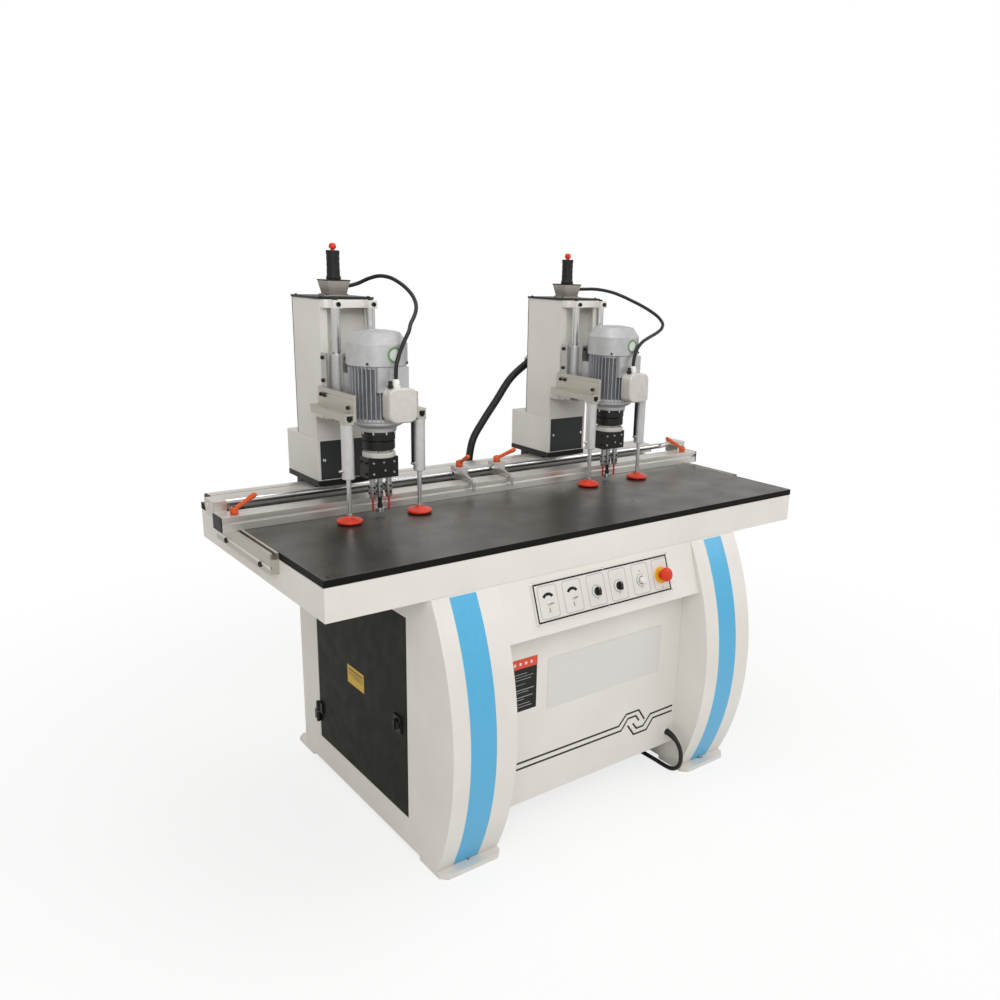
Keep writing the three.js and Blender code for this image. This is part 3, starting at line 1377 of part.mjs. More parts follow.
export default machine;
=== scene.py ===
import math

import bmesh
import bpy
from mathutils import Matrix, Vector


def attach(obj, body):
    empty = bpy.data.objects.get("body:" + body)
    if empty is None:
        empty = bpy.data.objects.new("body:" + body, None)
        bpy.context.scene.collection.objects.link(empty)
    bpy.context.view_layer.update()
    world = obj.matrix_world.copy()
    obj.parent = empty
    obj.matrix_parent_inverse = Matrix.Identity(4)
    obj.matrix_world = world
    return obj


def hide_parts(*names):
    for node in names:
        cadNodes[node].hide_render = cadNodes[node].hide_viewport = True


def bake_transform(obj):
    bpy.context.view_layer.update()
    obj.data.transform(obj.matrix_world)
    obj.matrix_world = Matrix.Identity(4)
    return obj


print("stage 1: load the packed machine")
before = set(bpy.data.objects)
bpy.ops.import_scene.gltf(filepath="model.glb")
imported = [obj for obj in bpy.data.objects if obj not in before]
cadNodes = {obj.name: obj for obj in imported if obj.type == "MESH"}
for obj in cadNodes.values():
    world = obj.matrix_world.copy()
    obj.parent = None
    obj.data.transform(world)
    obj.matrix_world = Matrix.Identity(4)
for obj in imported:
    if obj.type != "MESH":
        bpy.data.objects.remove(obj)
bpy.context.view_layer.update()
scene = bpy.context.scene

mm = 0.001
tableFront = -372.5  # world depth of the table's front edge; depths below are measured from it
tableFace = 846
headPlaces = {"left": -445, "right": 378}
origin = (0, 0, 0)
alongX, alongY, alongZ = Vector((1, 0, 0)), Vector((0, 1, 0)), Vector((0, 0, 1))
frontward = -alongY


def spot(x, y, z):
    return Vector((x, y + tableFront, z)) * mm


def addObject(name, data):
    item = bpy.data.objects.new(name, data)
    scene.collection.objects.link(item)
    return item


print("stage 2: camera")
cameraView = {
    "place": (-1558.5, -1703.9, 1498.8),
    "yaw": -38.7,
    "pitch": -16.2,
    "roll": 1.8,
    "lens": 32.31,
    "sensor": 36,
    "shift": (-0.0469, 0.0304),
    "farthest": 60,
}


def makeCamera(view):
    yaw, pitch, roll = (math.radians(view[key]) for key in ("yaw", "pitch", "roll"))
    forward = Vector((-math.sin(yaw) * math.cos(pitch), math.cos(yaw) * math.cos(pitch), math.sin(pitch)))
    level = Vector((math.cos(yaw), math.sin(yaw), 0))
    upright = level.cross(forward)
    right = level * math.cos(roll) + upright * math.sin(roll)
    up = upright * math.cos(roll) - level * math.sin(roll)
    data = bpy.data.cameras.new("photoCamera")
    data.lens = view["lens"]
    data.sensor_width = view["sensor"]
    data.sensor_fit = "HORIZONTAL"
    data.shift_x, data.shift_y = view["shift"]
    data.clip_end = view["farthest"]
    turn = Matrix((right, up, -forward)).transposed()
    scene.camera = addObject("photoCamera", data)
    scene.camera.matrix_world = Matrix.Translation(spot(*view["place"])) @ turn.to_4x4()


makeCamera(cameraView)

print("stage 3: materials")


def fromHex(text):
    channels = [int(text[i:i + 2], 16) / 255 for i in (1, 3, 5)]
    linear = [c / 12.92 if c <= 0.04045 else ((c + 0.055) / 1.055) ** 2.4 for c in channels]
    return (*linear, 1)


def addNode(tree, kind, links=None, **settings):
    node = tree.nodes.new(kind)
    for name, value in settings.items():
        setattr(node, name, value)
    for name, value in (links or {}).items():
        if isinstance(value, bpy.types.NodeSocket):
            tree.links.new(value, node.inputs[name])
        else:
            node.inputs[name].default_value = value
    return node


def startMaterial(name):
    material = bpy.data.materials.new(name)
    material.use_nodes = True
    tree = material.node_tree
    tree.nodes.clear()
    return material, tree, addNode(tree, "ShaderNodeTexCoord").outputs["Object"]


def grainOf(tree, place, size, detail, stretch=None):
    # cloudy noise with marks of about that size in mm, finer or longer along the axes by the stretch
    if stretch:
        place = addNode(tree, "ShaderNodeMapping", {"Vector": place, "Scale": stretch}).outputs["Vector"]
    links = {"Vector": place, "Scale": 1000 / size, "Detail": detail}
    return addNode(tree, "ShaderNodeTexNoise", links).outputs["Fac"]


def mapped(tree, value, low, high, start=0.0, end=1.0, **settings):
    # the value's run from start to end becomes a run from low to high
    links = {"Value": value, "From Min": start, "From Max": end, "To Min": low, "To Max": high}
    return addNode(tree, "ShaderNodeMapRange", links, **settings).outputs["Result"]


def patches(tree, place, size, low, high, detail=3):
    # noise rarely leaves this range, so the patches reach both values
    return mapped(tree, grainOf(tree, place, size, detail), low, high, start=0.3, end=0.7)


def blendColours(tree, share, first, second):
    colours = [fromHex(colour) if isinstance(colour, str) else colour for colour in (first, second)]
    links = {0: share, 6: colours[0], 7: colours[1]}
    return addNode(tree, "ShaderNodeMix", links, data_type="RGBA").outputs[2]


def closeMaterial(tree, colour, rough, height, look):
    bump = {"Height": height, "Distance": look["depth"] * mm, "Strength": look["bump"]}
    normal = addNode(tree, "ShaderNodeBump", bump).outputs["Normal"]
    shader = addNode(tree, "ShaderNodeBsdfPrincipled", {
        "Base Color": colour, "Roughness": rough, "Normal": normal, "Metallic": look.get("metallic", 0),
        "Coat Weight": look.get("coat", 0), "Specular IOR Level": look.get("gloss", 0.5),
        "IOR": look.get("ior", 1.5)})
    addNode(tree, "ShaderNodeOutputMaterial", {"Surface": shader.outputs[0]})


# how each kind of finish varies: size of its colour patches, gloss patches and grain in mm, swing of the
# roughness below and above its value, depth of the skin's relief in mm and strength of the bump
finishKinds = {
    # baked powder coat on sheet steel: satin, with a faint orange peel and slightly uneven gloss
    "powderCoat": {"patch": 160, "glossPatch": 40, "swing": (0.05, 0.06), "grain": 3, "detail": 1,
                   "depth": 0.05, "bump": 0.35},
    # clear-anodised extrusion: satin metal with fine die lines along the bar
    "extrusion": {"swing": (0.07, 0.08), "grain": 2.2, "detail": 4, "depth": 0.04, "bump": 0.5,
                  "metallic": 0.85},
    # silver enamel sprayed on cast aluminium: soft metallic sheen over a slightly sandy skin
    "castEnamel": {"patch": 18, "grain": 2.5, "detail": 5, "depth": 0.15, "bump": 0.5, "metallic": 0.35},
    # ground and polished steel: bright, with hair-fine marks round the bar
    "groundSteel": {"swing": (0.06, 0.12), "grain": 9, "detail": 5, "stretch": (1, 1, 12), "depth": 0.01,
                    "bump": 0.3, "metallic": 1},
    # moulded plastic or rubber: even colour, fine spark-eroded texture that softens the highlight
    "moulding": {"patch": 14, "glossPatch": 9, "swing": (0.04, 0.05), "grain": 1.6, "detail": 2,
                 "depth": 0.05, "bump": 0.4},
    # printed vinyl film or ink: as smooth as a moulding's best face
    "film": {"patch": 14, "glossPatch": 9, "swing": (0.04, 0.05), "grain": 6, "detail": 2,
             "depth": 0.02, "bump": 0.4},
}
# real material and process, the two colours it drifts between, roughness, and what differs from its kind
finishLooks = {
    "powderCoat": {
        "whiteCoat": ("powderCoatedSteelWhite", "#EAE7E2", "#E4E1DB", 0.42),
        "greyCoat": ("powderCoatedSteelLightGrey", "#E3E0DC", "#DCD9D4", 0.42),
        "oliveCoat": ("texturedEnamelBlackOlive", "#17180F", "#1B1C13", 0.52, {"grain": 2.6, "gloss": 0.15}),
        "blackCoat": ("powderCoatedSteelBlack", "#1A1A19", "#222221", 0.45, {"grain": 2.6, "gloss": 0.35}),
        "darkCover": ("powderCoatedSteelSlate", "#2B2F31", "#313537", 0.5, {"grain": 2.6, "gloss": 0.35}),
    },
    "extrusion": {
        "railAluminium": ("anodisedExtrusionLong", "#E4E2DE", "#CFCDC8", 0.34, {"stretch": (0.015, 1, 1)}),
        "barAluminium": ("anodisedExtrusionDeep", "#CFCCC3", "#B9B6AC", 0.36, {"stretch": (1, 0.015, 1)}),
        "plateAluminium": ("milledAluminiumPlate", "#C9C8C5", "#B5B4B0", 0.4, {"stretch": (1, 1, 0.015)}),
    },
    "castEnamel": {
        "casting": ("enamelledCastAluminium", "#BEBFC0", "#B3B4B6", 0.4),
        "blackOxide": ("blackOxideSteel", "#0F0F0E", "#161615", 0.42, {"metallic": 0.25}),
        "finAlloy": ("enamelledAluminiumFins", "#A9ABB0", "#9FA1A6", 0.4, {"metallic": 0.5}),
        # painted shade: the core between the fins is coloured darker than the fins to stand for the shade in
        # the gaps; the same grey fills the cowl's air holes
        "paintedFinShade": ("enamelledAluminiumCore", "#6F7176", "#66686D", 0.55, {"metallic": 0.4}),
        "boxEnamel": ("enamelledDieCastLid", "#D2CFCA", "#C9C6C1", 0.4, {"metallic": 0.1}),
        "tubeAluminium": ("anodisedCylinderTube", "#DCDCDC", "#D2D2D2", 0.3, {"metallic": 0.55}),
        "bracketSteel": ("enamelledFoldedSteel", "#A9A49C", "#9F9A92", 0.42, {"metallic": 0.4}),
        "bitCoat": ("fluoropolymerCoatedBitRed", "#C4342A", "#B52C24", 0.35, {"metallic": 0.3}),
    },
    "groundSteel": {
        "chrome": ("hardChromedRod", "#D9DADB", "#D9DADB", 0.16),
        "steel": ("groundToolSteel", "#B9BABB", "#B9BABB", 0.26),
    },
    "moulding": {
        "blackPlastic": ("mouldedNylonBlack", "#171717", "#1F1F1F", 0.42, {"gloss": 0.35}),
        "orangePlastic": ("mouldedNylonOrange", "#DD5516", "#D04D10", 0.38, {"coat": 0.1}),
        "redPlastic": ("mouldedAbsRed", "#DC3413", "#D02E0E", 0.36, {"coat": 0.05, "gloss": 0.35}),
        "whitePlastic": ("mouldedAbsWhite", "#ECEBE6", "#E2E1DC", 0.35, {"coat": 0.2}),
        "yellowPlastic": ("mouldedAbsYellow", "#F0B51F", "#E6A91A", 0.36, {"coat": 0.2}),
        "padRubber": ("mouldedPolyurethaneRed", "#DC3A1F", "#D2331A", 0.4,
                      {"grain": 2, "depth": 0.06, "coat": 0.15}),
        "gripRubber": ("mouldedRubberBlack", "#161616", "#1D1D1D", 0.55,
                       {"grain": 1.4, "depth": 0.12, "gloss": 0.3}),
        "edgeBand": ("extrudedAbsEdgingBlack", "#0E0D0A", "#13120E", 0.55,
                     {"grain": 6, "depth": 0.03, "gloss": 0.12}),
        "pvc": ("extrudedPvcSheathBlack", "#171717", "#1E1E1E", 0.46,
                {"grain": 3, "depth": 0.08, "gloss": 0.35}),
        "rubber": ("plainRubberHoseBlack", "#151515", "#1C1C1C", 0.5,
                   {"grain": 4, "depth": 0.1, "gloss": 0.35}),
        "shadow": ("openHoleShadow", "#0C0C0D", "#101011", 0.8),
    },
    "film": {
        "blueFilm": ("printedVinylBlue", "#4FB1E0", "#58B4E0", 0.34, {"coat": 0.1}),
        "greenFilm": ("printedVinylGreen", "#6F8F6A", "#67865F", 0.4),
        "silverFilm": ("printedVinylSilver", "#D9DAD8", "#CFD0CE", 0.36),
        "signFilm": ("printedVinylPaleGrey", "#DEDDDA", "#DCDBD8", 0.4, {"grain": 60, "depth": 0.01}),
        "redFilm": ("printedVinylRed", "#E24A2C", "#D94427", 0.4),
        "yellowFilm": ("printedVinylYellow", "#D9B021", "#CFA61B", 0.4),
        "darkFilm": ("printedInkBlack", "#141414", "#1A1A1A", 0.5, {"depth": 0.01, "gloss": 0.3}),
        "oliveFilm": ("printedInkOlive", "#26241C", "#2B2921", 0.5, {"depth": 0.01, "gloss": 0.3}),
        "greyFilm": ("printedInkGrey", "#9B9B99", "#A3A3A1", 0.45, {"depth": 0.01}),
    },
}
laminateLook = {
    "colours": ("#272720", "#21211B"), "patch": 60, "fleck": ("#33332C", 4), "flecked": (0, 0.35, 0.55, 0.75),
    "glossPatch": 90, "roughness": (0.27, 0.4), "pebble": 5, "depth": 0.05, "bump": 0.4, "ior": 1.75,
}


def makeFinish(name, colour, shade, roughness, look):
    material, tree, place = startMaterial(name)
    grain = grainOf(tree, place, look["grain"], look["detail"], look.get("stretch"))
    share = patches(tree, place, look["patch"], 0, 1) if "patch" in look else grain
    below, above = look.get("swing", (0, 0))
    low, high = roughness - below, roughness + above
    if "glossPatch" in look:
        rough = patches(tree, place, look["glossPatch"], low, high)
    else:
        rough = mapped(tree, grain, low, high)
    closeMaterial(tree, blendColours(tree, share, colour, shade), rough, grain, look)
    return material


def makeLaminate(name, look):
    # high-pressure laminate on the board: matt charcoal with a fine pebbled press texture and pale scuffs
    material, tree, place = startMaterial(name)
    base = blendColours(tree, patches(tree, place, look["patch"], 0, 1, 5), *look["colours"])
    fleck, size = look["fleck"]
    bright = mapped(tree, grainOf(tree, place, size, 3), *look["flecked"])
    rough = patches(tree, place, look["glossPatch"], *look["roughness"])
    links = {"Vector": place, "Scale": 1000 / look["pebble"]}
    pebbles = addNode(tree, "ShaderNodeTexVoronoi", links, feature="SMOOTH_F1").outputs["Distance"]
    closeMaterial(tree, blendColours(tree, bright, base, fleck), rough, pebbles, look)
    return material


finishes = {"board": makeLaminate("pressedLaminateCharcoal", laminateLook)}
for kind, looks in finishLooks.items():
    for key, (name, colour, shade, roughness, *changes) in looks.items():
        look = {**finishKinds[kind], **dict(*changes)}
        finishes[key] = makeFinish(name, colour, shade, roughness, look)

print("stage 4: tools for building pieces")
sharpAngle = 32
solidSkin = {"weld": 0.01, "edge": 0.6}
thinnest = 0.02
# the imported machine's own solids that stay in sight, by finish; pieces take the place of the others
shownSolids = {
    "whiteCoat": ["base_cabinet", "left_leg", "right_leg", "table_frame"],
    "oliveCoat": ["service_door"],
    "blackOxide": ["door_latch"],
    "board": ["table_top"],
    "railAluminium": ["fence"],
    "greyCoat": ["left_column", "right_column"],
    "plateAluminium": ["left_stop_block", "right_stop_block", "left_stop_arm", "right_stop_arm"],
}
# how points across and along an axis lie in space
axes = {"X": lambda a, b, c: (c, a, b), "Y": lambda a, b, c: (a, c, b), "Z": lambda a, b, c: (a, b, c)}


def circle(radius, count=48, turn=0):
    steps = [2 * math.pi * (k + turn) / count for k in range(count)]
    return [(radius * math.cos(step), radius * math.sin(step)) for step in steps]


def roundedBox(left, right, low, high, corner, steps=6):
    outline = []
    for a, b, start in ((right - corner, low + corner, -90), (right - corner, high - corner, 0),
                        (left + corner, high - corner, 90), (left + corner, low + corner, 180)):
        for k in range(steps + 1):
            angle = math.radians(start + 90 * k / steps)
            outline.append((a + corner * math.cos(angle), b + corner * math.sin(angle)))
    return outline


def soften(piece, edge):
    # rolled edges catch a thin highlight, as pressed, cast and machined edges do
    bevel = piece.modifiers.new("rolledEdges", "BEVEL")
    bevel.width = edge * mm
    bevel.segments = 2
    bevel.limit_method = "ANGLE"
    bevel.angle_limit = math.radians(sharpAngle)
    bevel.use_clamp_overlap = False
    bevel.harden_normals = True


def joinRings(mesh, rings, looped=False):
    made = [[mesh.verts.new(point) for point in ring] for ring in rings]
    faces = [] if looped else [made[0][::-1], made[-1]]
    for low, high in zip(made, made[1:] + made[:1] if looped else made[1:]):
        faces += [(low[k - 1], low[k], high[k], high[k - 1]) for k in range(len(low))]
    return [mesh.faces.new(corners) for corners in faces]


def closeMesh(name, mesh, used, angle=sharpAngle):
    bmesh.ops.recalc_face_normals(mesh, faces=mesh.faces)
    data = bpy.data.meshes.new(name)
    mesh.to_mesh(data)
    mesh.free()
    for finish in used:
        data.materials.append(finishes[finish])
    data.shade_smooth()
    data.set_sharp_from_angle(angle=math.radians(angle))
    return addObject(name, data)


class Solid:
    # closed bodies gathered into one piece, in mm and in the axes of its own place
    def __init__(self, place=Matrix()):
        self.mesh = bmesh.new()
        self.place = place
        self.finishes = []

    def loft(self, rings, finish, looped=False):
        if finish not in self.finishes:
            self.finishes.append(finish)
        placed = [[spot(*(self.place @ Vector(point))) for point in ring] for ring in rings]
        for face in joinRings(self.mesh, placed, looped):
            face.material_index = self.finishes.index(finish)

    def bar(self, finish, outline, axis, start, end):
        # an outline drawn across the axis and carried along it
        self.loft([[axes[axis](a, b, c) for a, b in outline] for c in (start, end)], finish)

    def box(self, finish, ranges, at=origin):
        x, y, z = ([place + value for value in pair] for pair, place in zip(ranges, at))
        self.bar(finish, [(x[0], y[0]), (x[1], y[0]), (x[1], y[1]), (x[0], y[1])], "Z", *z)

    def twins(self, finish, x, y, z):
        # a box and its mirror image on the other side of the middle
        self.box(finish, ((-x[1], -x[0]), y, z))
        self.box(finish, (x, y, z))

    def shell(self, finish, axis, steps, face, skins, looped=False):
        # rings of a rounded rectangle along the axis: inset from its sides, distance, corner radius
        left, right, low, high = face
        rings = []
        for inset, depth, corner in skins:
            outline = roundedBox(left + inset, right - inset, low + inset, high - inset, corner, steps)
            rings.append([axes[axis](a, b, depth) for a, b in outline])
        self.loft(rings, finish, looped)

    def spin(self, finish, sides, profile, feet=(origin,), toward=alongZ, looped=False):
        # a turned body on every foot: pairs of radius and distance from the foot
        ahead = Vector(toward).normalized()
        across = ahead.orthogonal().normalized()
        upward = ahead.cross(across)
        for foot in feet:
            self.loft([[Vector(foot) + ahead * h + across * a + upward * b
                        for a, b in circle(max(r, thinnest), sides)] for r, h in profile], finish, looped)

    def screw(self, finish, radius, feet, toward=alongZ):
        # socket cap screws
        top = radius * 1.1
        head = [(radius, 0), (radius, top * 0.85), (radius * 0.85, top), (radius * 0.5, top),
                (radius * 0.45, top * 0.4), (0, top * 0.4)]
        self.spin(finish, 20, head, feet, toward)

    def add(self, look):
        # shapes by name, each with its kind, its finish and the values that kind asks for
        for kind, *values in look.values():
            getattr(self, kind)(*values)
        return self

    def close(self, name, body, node=None, edge=0.5):
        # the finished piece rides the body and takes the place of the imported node, if one is named
        piece = closeMesh(name, self.mesh, self.finishes)
        soften(piece, edge)
        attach(piece, body)
        if node:
            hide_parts(node)
        return piece


def atHead(side, x=0, y=0):
    return Matrix.Translation((headPlaces[side] + x, y, tableFace))


for finish, names in shownSolids.items():
    for name in names:
        solid = cadNodes[name]
        solid.data.materials.clear()
        solid.data.materials.append(finishes[finish])
        weld = solid.modifiers.new("joinedFaces", "WELD")
        weld.merge_threshold = solidSkin["weld"] * mm
        soften(solid, solidSkin["edge"])

print("stage 5: cords")
# route points are millimetres from the table's front edge and the floor; a lead's x counts from its head
leadRoutes = {
    "left": [(67, 641, 1446), (90, 620, 1460), (108, 592, 1468), (124, 562, 1465), (136, 532, 1453),
             (144, 503, 1437), (145, 474, 1419), (137, 445, 1401), (122, 419, 1385), (102, 395, 1370),
             (80, 374, 1354), (60, 349, 1337), (38, 333, 1315), (20, 325, 1288), (7, 321, 1256)],
    "right": [(67, 640, 1440), (92, 618, 1441), (114, 593, 1438), (136, 568, 1431), (158, 545, 1420),
              (181, 525, 1407), (204, 504, 1393), (225, 483, 1377), (239, 459, 1359), (235, 433, 1340),
              (212, 413, 1326), (183, 398, 1317), (153, 385, 1310), (122, 372, 1304), (92, 359, 1298),
              (62, 346, 1290), (34, 333, 1277), (12, 323, 1254)],
}
leadStart, leadEnd = [(35.3, 649, 1438.97), (41.3, 649, 1438.97)], [(4, 319, 1228.3), (4, 319, 1222.3)]
hoseRoute = [(350.4, 812, 1189.6), (345.6, 812, 1186), (276, 812, 1136), (216, 812, 1062), (162, 812, 995),
             (124, 812, 940), (110, 812, 890), (105, 812, 830), (104, 812, 760), (104, 812, 690),
             (104, 812, 630.3), (104, 812, 624.3)]
mainsRoute = [(312, 5.7, 134), (312, -0.3, 134), (313, -17.3, 129.4), (315, -36.7, 116.4), (317, -49.7, 97),
              (319, -54.3, 70.5), (321, -49.7, 44), (322, -36.7, 24.6), (324, -17.3, 11.6), (325, 5.7, 7),
              (325, 60, 7), (322, 200, 7), (317, 360, 7), (311, 520, 7), (303, 680, 7), (294, 800, 7),
              (286, 900, 7), (283, 990.7, 6.5)]
coil = {"x": 200, "y": 1010, "outer": 83, "pitch": 15.5, "turns": 2, "low": 6.5, "tail": 40}
coilTie = {"places": (0.25, 0.75), "half": 3, "outline": (-23.5, 23.5, 0.2, 29, 6)}
plugGap = 0.3
strainRelief = {"points": 6, "foot": 10.5, "taper": 3.2}
cordSizes = {
    "lead": {"diameter": 10.4, "stiffness": "medium", "lay": "hanging", "end": "object"},
    "hose": {"diameter": 25, "stiffness": "stiff", "lay": "hanging", "end": "object"},
    "mains": {"diameter": 13, "stiffness": "medium", "lay": "coiled", "end": "plug"},
}


def smoothPath(route, step=7):
    # centripetal curve through the route's points, as the cords' solids follow it
    knots = [Vector(point) for point in route]
    knots = [2 * knots[0] - knots[1], *knots, 2 * knots[-1] - knots[-2]]
    path = []
    for a, b, c, d in zip(knots, knots[1:], knots[2:], knots[3:]):
        tb = math.sqrt((b - a).length)
        tc = tb + math.sqrt((c - b).length)
        td = tc + math.sqrt((d - c).length)
        count = max(1, round((c - b).length / step))
        for k in range(count):
            t = tb + (tc - tb) * k / count
            ab, bc, cd = a.lerp(b, t / tb), b.lerp(c, (t - tb) / (tc - tb)), c.lerp(d, (t - tc) / (td - tc))
            path.append(ab.lerp(bc, t / tc).lerp(bc.lerp(cd, (t - tb) / (td - tb)), (t - tb) / (tc - tb)))
    return [spot(*point) for point in [*path, knots[-2]]]


def coilRoute(steps=48):
    # one layer winds in, half a turn climbs, the next winds back out and ends in a straight tail
    layer, climb = coil["turns"] * steps, steps // 2
    route = []
    for i in range(2 * layer + climb + 1):
        wound = min(i, layer) - max(0, i - layer - climb)
        radius = coil["outer"] - coil["pitch"] * wound / steps
        height = coil["low"] + coil["pitch"] * min(max((i - layer) / climb, 0), 1)
        angle = 2 * math.pi * i / steps
        route.append((coil["x"] + radius * math.cos(angle), coil["y"] + radius * math.sin(angle), height))
    x, y, z = route[-1]
    return [*route, (x, y - coil["tail"] / 2, z), (x, y - coil["tail"], z)]


def makeTube(name, path, radiusAt, finish, sides=20, angle=50):
    # a tube swept along the path without twist; radiusAt gives the radius in mm for a share of its length
    ahead = [(path[min(i + 1, len(path) - 1)] - path[max(i - 1, 0)]).normalized() for i in range(len(path))]
    across = ahead[0].orthogonal().normalized()
    rings = []
    for i, (point, forward) in enumerate(zip(path, ahead)):
        across = (across - forward * across.dot(forward)).normalized()
        upward = forward.cross(across)
        radius = radiusAt(i / (len(path) - 1)) * mm
        rings.append([point + across * a + upward * b for a, b in circle(radius, sides)])
    tube = bmesh.new()
    joinRings(tube, rings)
    return closeMesh(name, tube, [finish], angle)


def makeCord(name, kind, path, finish, nodes):
    size = cordSizes[kind]
    tube = makeTube(name, path, lambda share: size["diameter"] / 2, finish)
    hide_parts(*nodes)
    return tube


plugLook = {
    "nut": ("spin", "blackPlastic", 12, [(9, 0), (11, 2), (11, 14), (9, 16)], [origin], frontward),
    "body": ("spin", "blackPlastic", 48, [(15, 16), (17, 19), (17, 70), (16, 77), (17.5, 79)], [origin],
             frontward),
    "nose": ("spin", "redPlastic", 48, [(20, 79), (21, 81), (21, 111), (20, 113), (17.6, 113), (17.6, 90),
                                        (0, 90)], [origin], frontward),
    "pins": ("spin", "steel", 16, [(2.5, 86), (2.5, 108), (1.6, 110)],
             [(10, 0, 0), (0, 0, 10), (-10, 0, 0), (0, 0, -10)], frontward),
}


def makePlug():
    x, y, z = coilRoute()[-1]
    plug = Solid(Matrix.Translation((x, y - plugGap, z)))
    return plug.add(plugLook).close("mainsPlugFour", "base", "mains_plug")


def makeTies():
    # two releasable ties hold the coil's turns together
    ties = Solid()
    for share in coilTie["places"]:
        angle = 2 * math.pi * share
        out = Vector((math.cos(angle), math.sin(angle), 0))
        middle = Vector((coil["x"], coil["y"], 0)) + out * (coil["outer"] - coil["pitch"])
        rings = []
        for half in (-coilTie["half"], coilTie["half"]):
            foot = middle + out.cross(alongZ) * half
            rings.append([foot + out * a + alongZ * b for a, b in roundedBox(*coilTie["outline"])])
        ties.loft(rings, "blackPlastic")
    return ties.close("coilTies", "base")


for side, shift in headPlaces.items():
    route = leadStart + leadRoutes[side] + leadEnd
    path = smoothPath([(x + shift, y, z) for x, y, z in route])
    lead = makeCord(f"{side}MotorLead", "lead", path, "pvc", [f"{side}_motor_lead"])
    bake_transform(lead)
hosePath = smoothPath(hoseRoute)
hose = makeCord("airHose", "hose", hosePath, "rubber", ["air_hose"])
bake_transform(hose)
plugPiece = makePlug()
mainsPath = smoothPath(mainsRoute + coilRoute(), 9)
mains = makeCord("mainsCable", "mains", mainsPath, "pvc", ["mains_cable", "mains_coil"])
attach(mains, "base")
makeTies()
relief = makeTube("mainsStrainRelief", mainsPath[:strainRelief["points"]],
                  lambda share: strainRelief["foot"] - strainRelief["taper"] * share, "blackPlastic")
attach(relief, "base")

print("stage 6: heads")
# in these groups heights count from the table's face; x and y count from the head's middle and from the
# motor's axis, the clamp cylinder, the grip or the guide rods, each of which stands at its own depth
depths = {"motor": 411, "clamp": 380, "grip": 649, "guides": 537}
motorLook = {
    "cowl": ("spin", "casting", 72, [(76, 404), (79, 405.5), (79, 460), (60, 487), (30, 491.6), (0, 493)]),
    "bell": ("spin", "casting", 72, [(44, 232), (47, 233), (48.5, 243), (63.5, 251), (66.5, 255),
                                     (66.5, 262)]),
    # core between the fins, coloured darker as painted shade
    "core": ("spin", "paintedFinShade", 48, [(62, 262), (62, 404.4)]),
    "lowRim": ("spin", "casting", 64, [(69, 261), (70.5, 262.5), (70.5, 269), (69, 270)]),
    "highRim": ("spin", "casting", 64, [(68, 397), (68, 404.4)]),
    "studs": ("spin", "chrome", 16, [(2.6, 226), (2.6, 236)], [(a, b, 0) for a, b in circle(44, 8)]),
    "pad": ("box", "casting", ((-55, 55), (29, 80.8), (287, 377))),
    "frontPad": ("box", "casting", ((-36, 52), (-74, -61), (340, 404))),
    "terminalBox": ("shell", "boxEnamel", "Y", 6, (-26, 54, 266, 354), [
        (3, -114, 18), (0, -110.5, 21), (0, -107.5, 21), (1.6, -107.4, 19.4), (1.6, -105.6, 19.4),
        (0, -105.5, 21), (0, -75, 21), (4, -70, 17)]),
    "neck": ("box", "casting", ((-12, 42), (-73, -55), (276, 344))),
    "glandNut": ("spin", "whitePlastic", 6, [(12, 0), (12, 6), (10, 7)], [(4, -92, 354)]),
    "glandDome": ("spin", "whitePlastic", 32, [(9.5, 6.5), (9.5, 14), (8, 19), (5.6, 22)], [(4, -92, 354)]),
    "cap": ("spin", "blackPlastic", 24, [(7, 0), (7, 7), (5, 8), (5, 17), (4, 18)], [(-12, -92, 354)]),
}
cowlLook = {
    "fins": {"count": 40, "heights": (264, 404.3)},
    "fin": [(60, -2.1), (74.5, -1.3), (74.5, 1.3), (60, 2.1)],
    # rings of holes in the cowl, drawn as grey discs of painted shade: radius of the ring, height, count
    "airHoles": [(47, 489, 14), (36, 490.6, 10), (25, 491.9, 6)],
    "airHole": [(2.2, -2), (2.2, 0.25)],
    "screws": {"reach": 79, "height": 412, "count": 4, "size": 3.2},
}
stickerLook = {"angle": 7, "height": 434, "reach": 79, "rim": 21, "middle": 14.5, "buried": -0.5,
               "rimProud": 0.5, "proud": 0.3}


def makeMotor(side):
    motor = Solid(atHead(side, 0, depths["motor"])).add(motorLook)
    fins, screws = cowlLook["fins"], cowlLook["screws"]
    for a, b in circle(1, fins["count"], 0.5):
        outline = [(r * a - w * b, r * b + w * a) for r, w in cowlLook["fin"]]
        motor.bar("finAlloy", outline, "Z", *fins["heights"])
    # each air hole is a shallow grey disc of painted shade instead of an opening
    for ring, height, count in cowlLook["airHoles"]:
        motor.spin("paintedFinShade", 12, cowlLook["airHole"], [(a, b, height) for a, b in circle(ring, count)])
    for a, b in circle(1, screws["count"], 0.5):
        foot = (a * screws["reach"], b * screws["reach"], screws["height"])
        motor.screw("blackOxide", screws["size"], [foot], (a, b, 0))
    addSticker(motor, stickerLook)
    motor.close(f"{side}BoringMotor", f"{side}_slide", f"{side}_motor", 0.5)


def addSticker(motor, look):
    # round label with a green rim and nothing written on it, wrapped on the cowl
    start = math.radians(look["angle"])

    def wrapped(radius, proud):
        reach = look["reach"]
        turned = [(start + a / reach, look["height"] + b) for a, b in circle(radius, 40)]
        reach += proud
        return [(reach * math.sin(angle), -reach * math.cos(angle), height) for angle, height in turned]

    rim, middle, buried, proud = look["rim"], look["middle"], look["buried"], look["rimProud"]
    motor.loft([wrapped(rim, buried), wrapped(rim, proud), wrapped(middle, proud), wrapped(middle, buried)],
               "greenFilm", looped=True)
    flat = [wrapped(radius, look["proud"]) for radius in (middle, middle / 2, 1)]
    motor.loft([wrapped(middle, buried), *flat], "silverFilm")


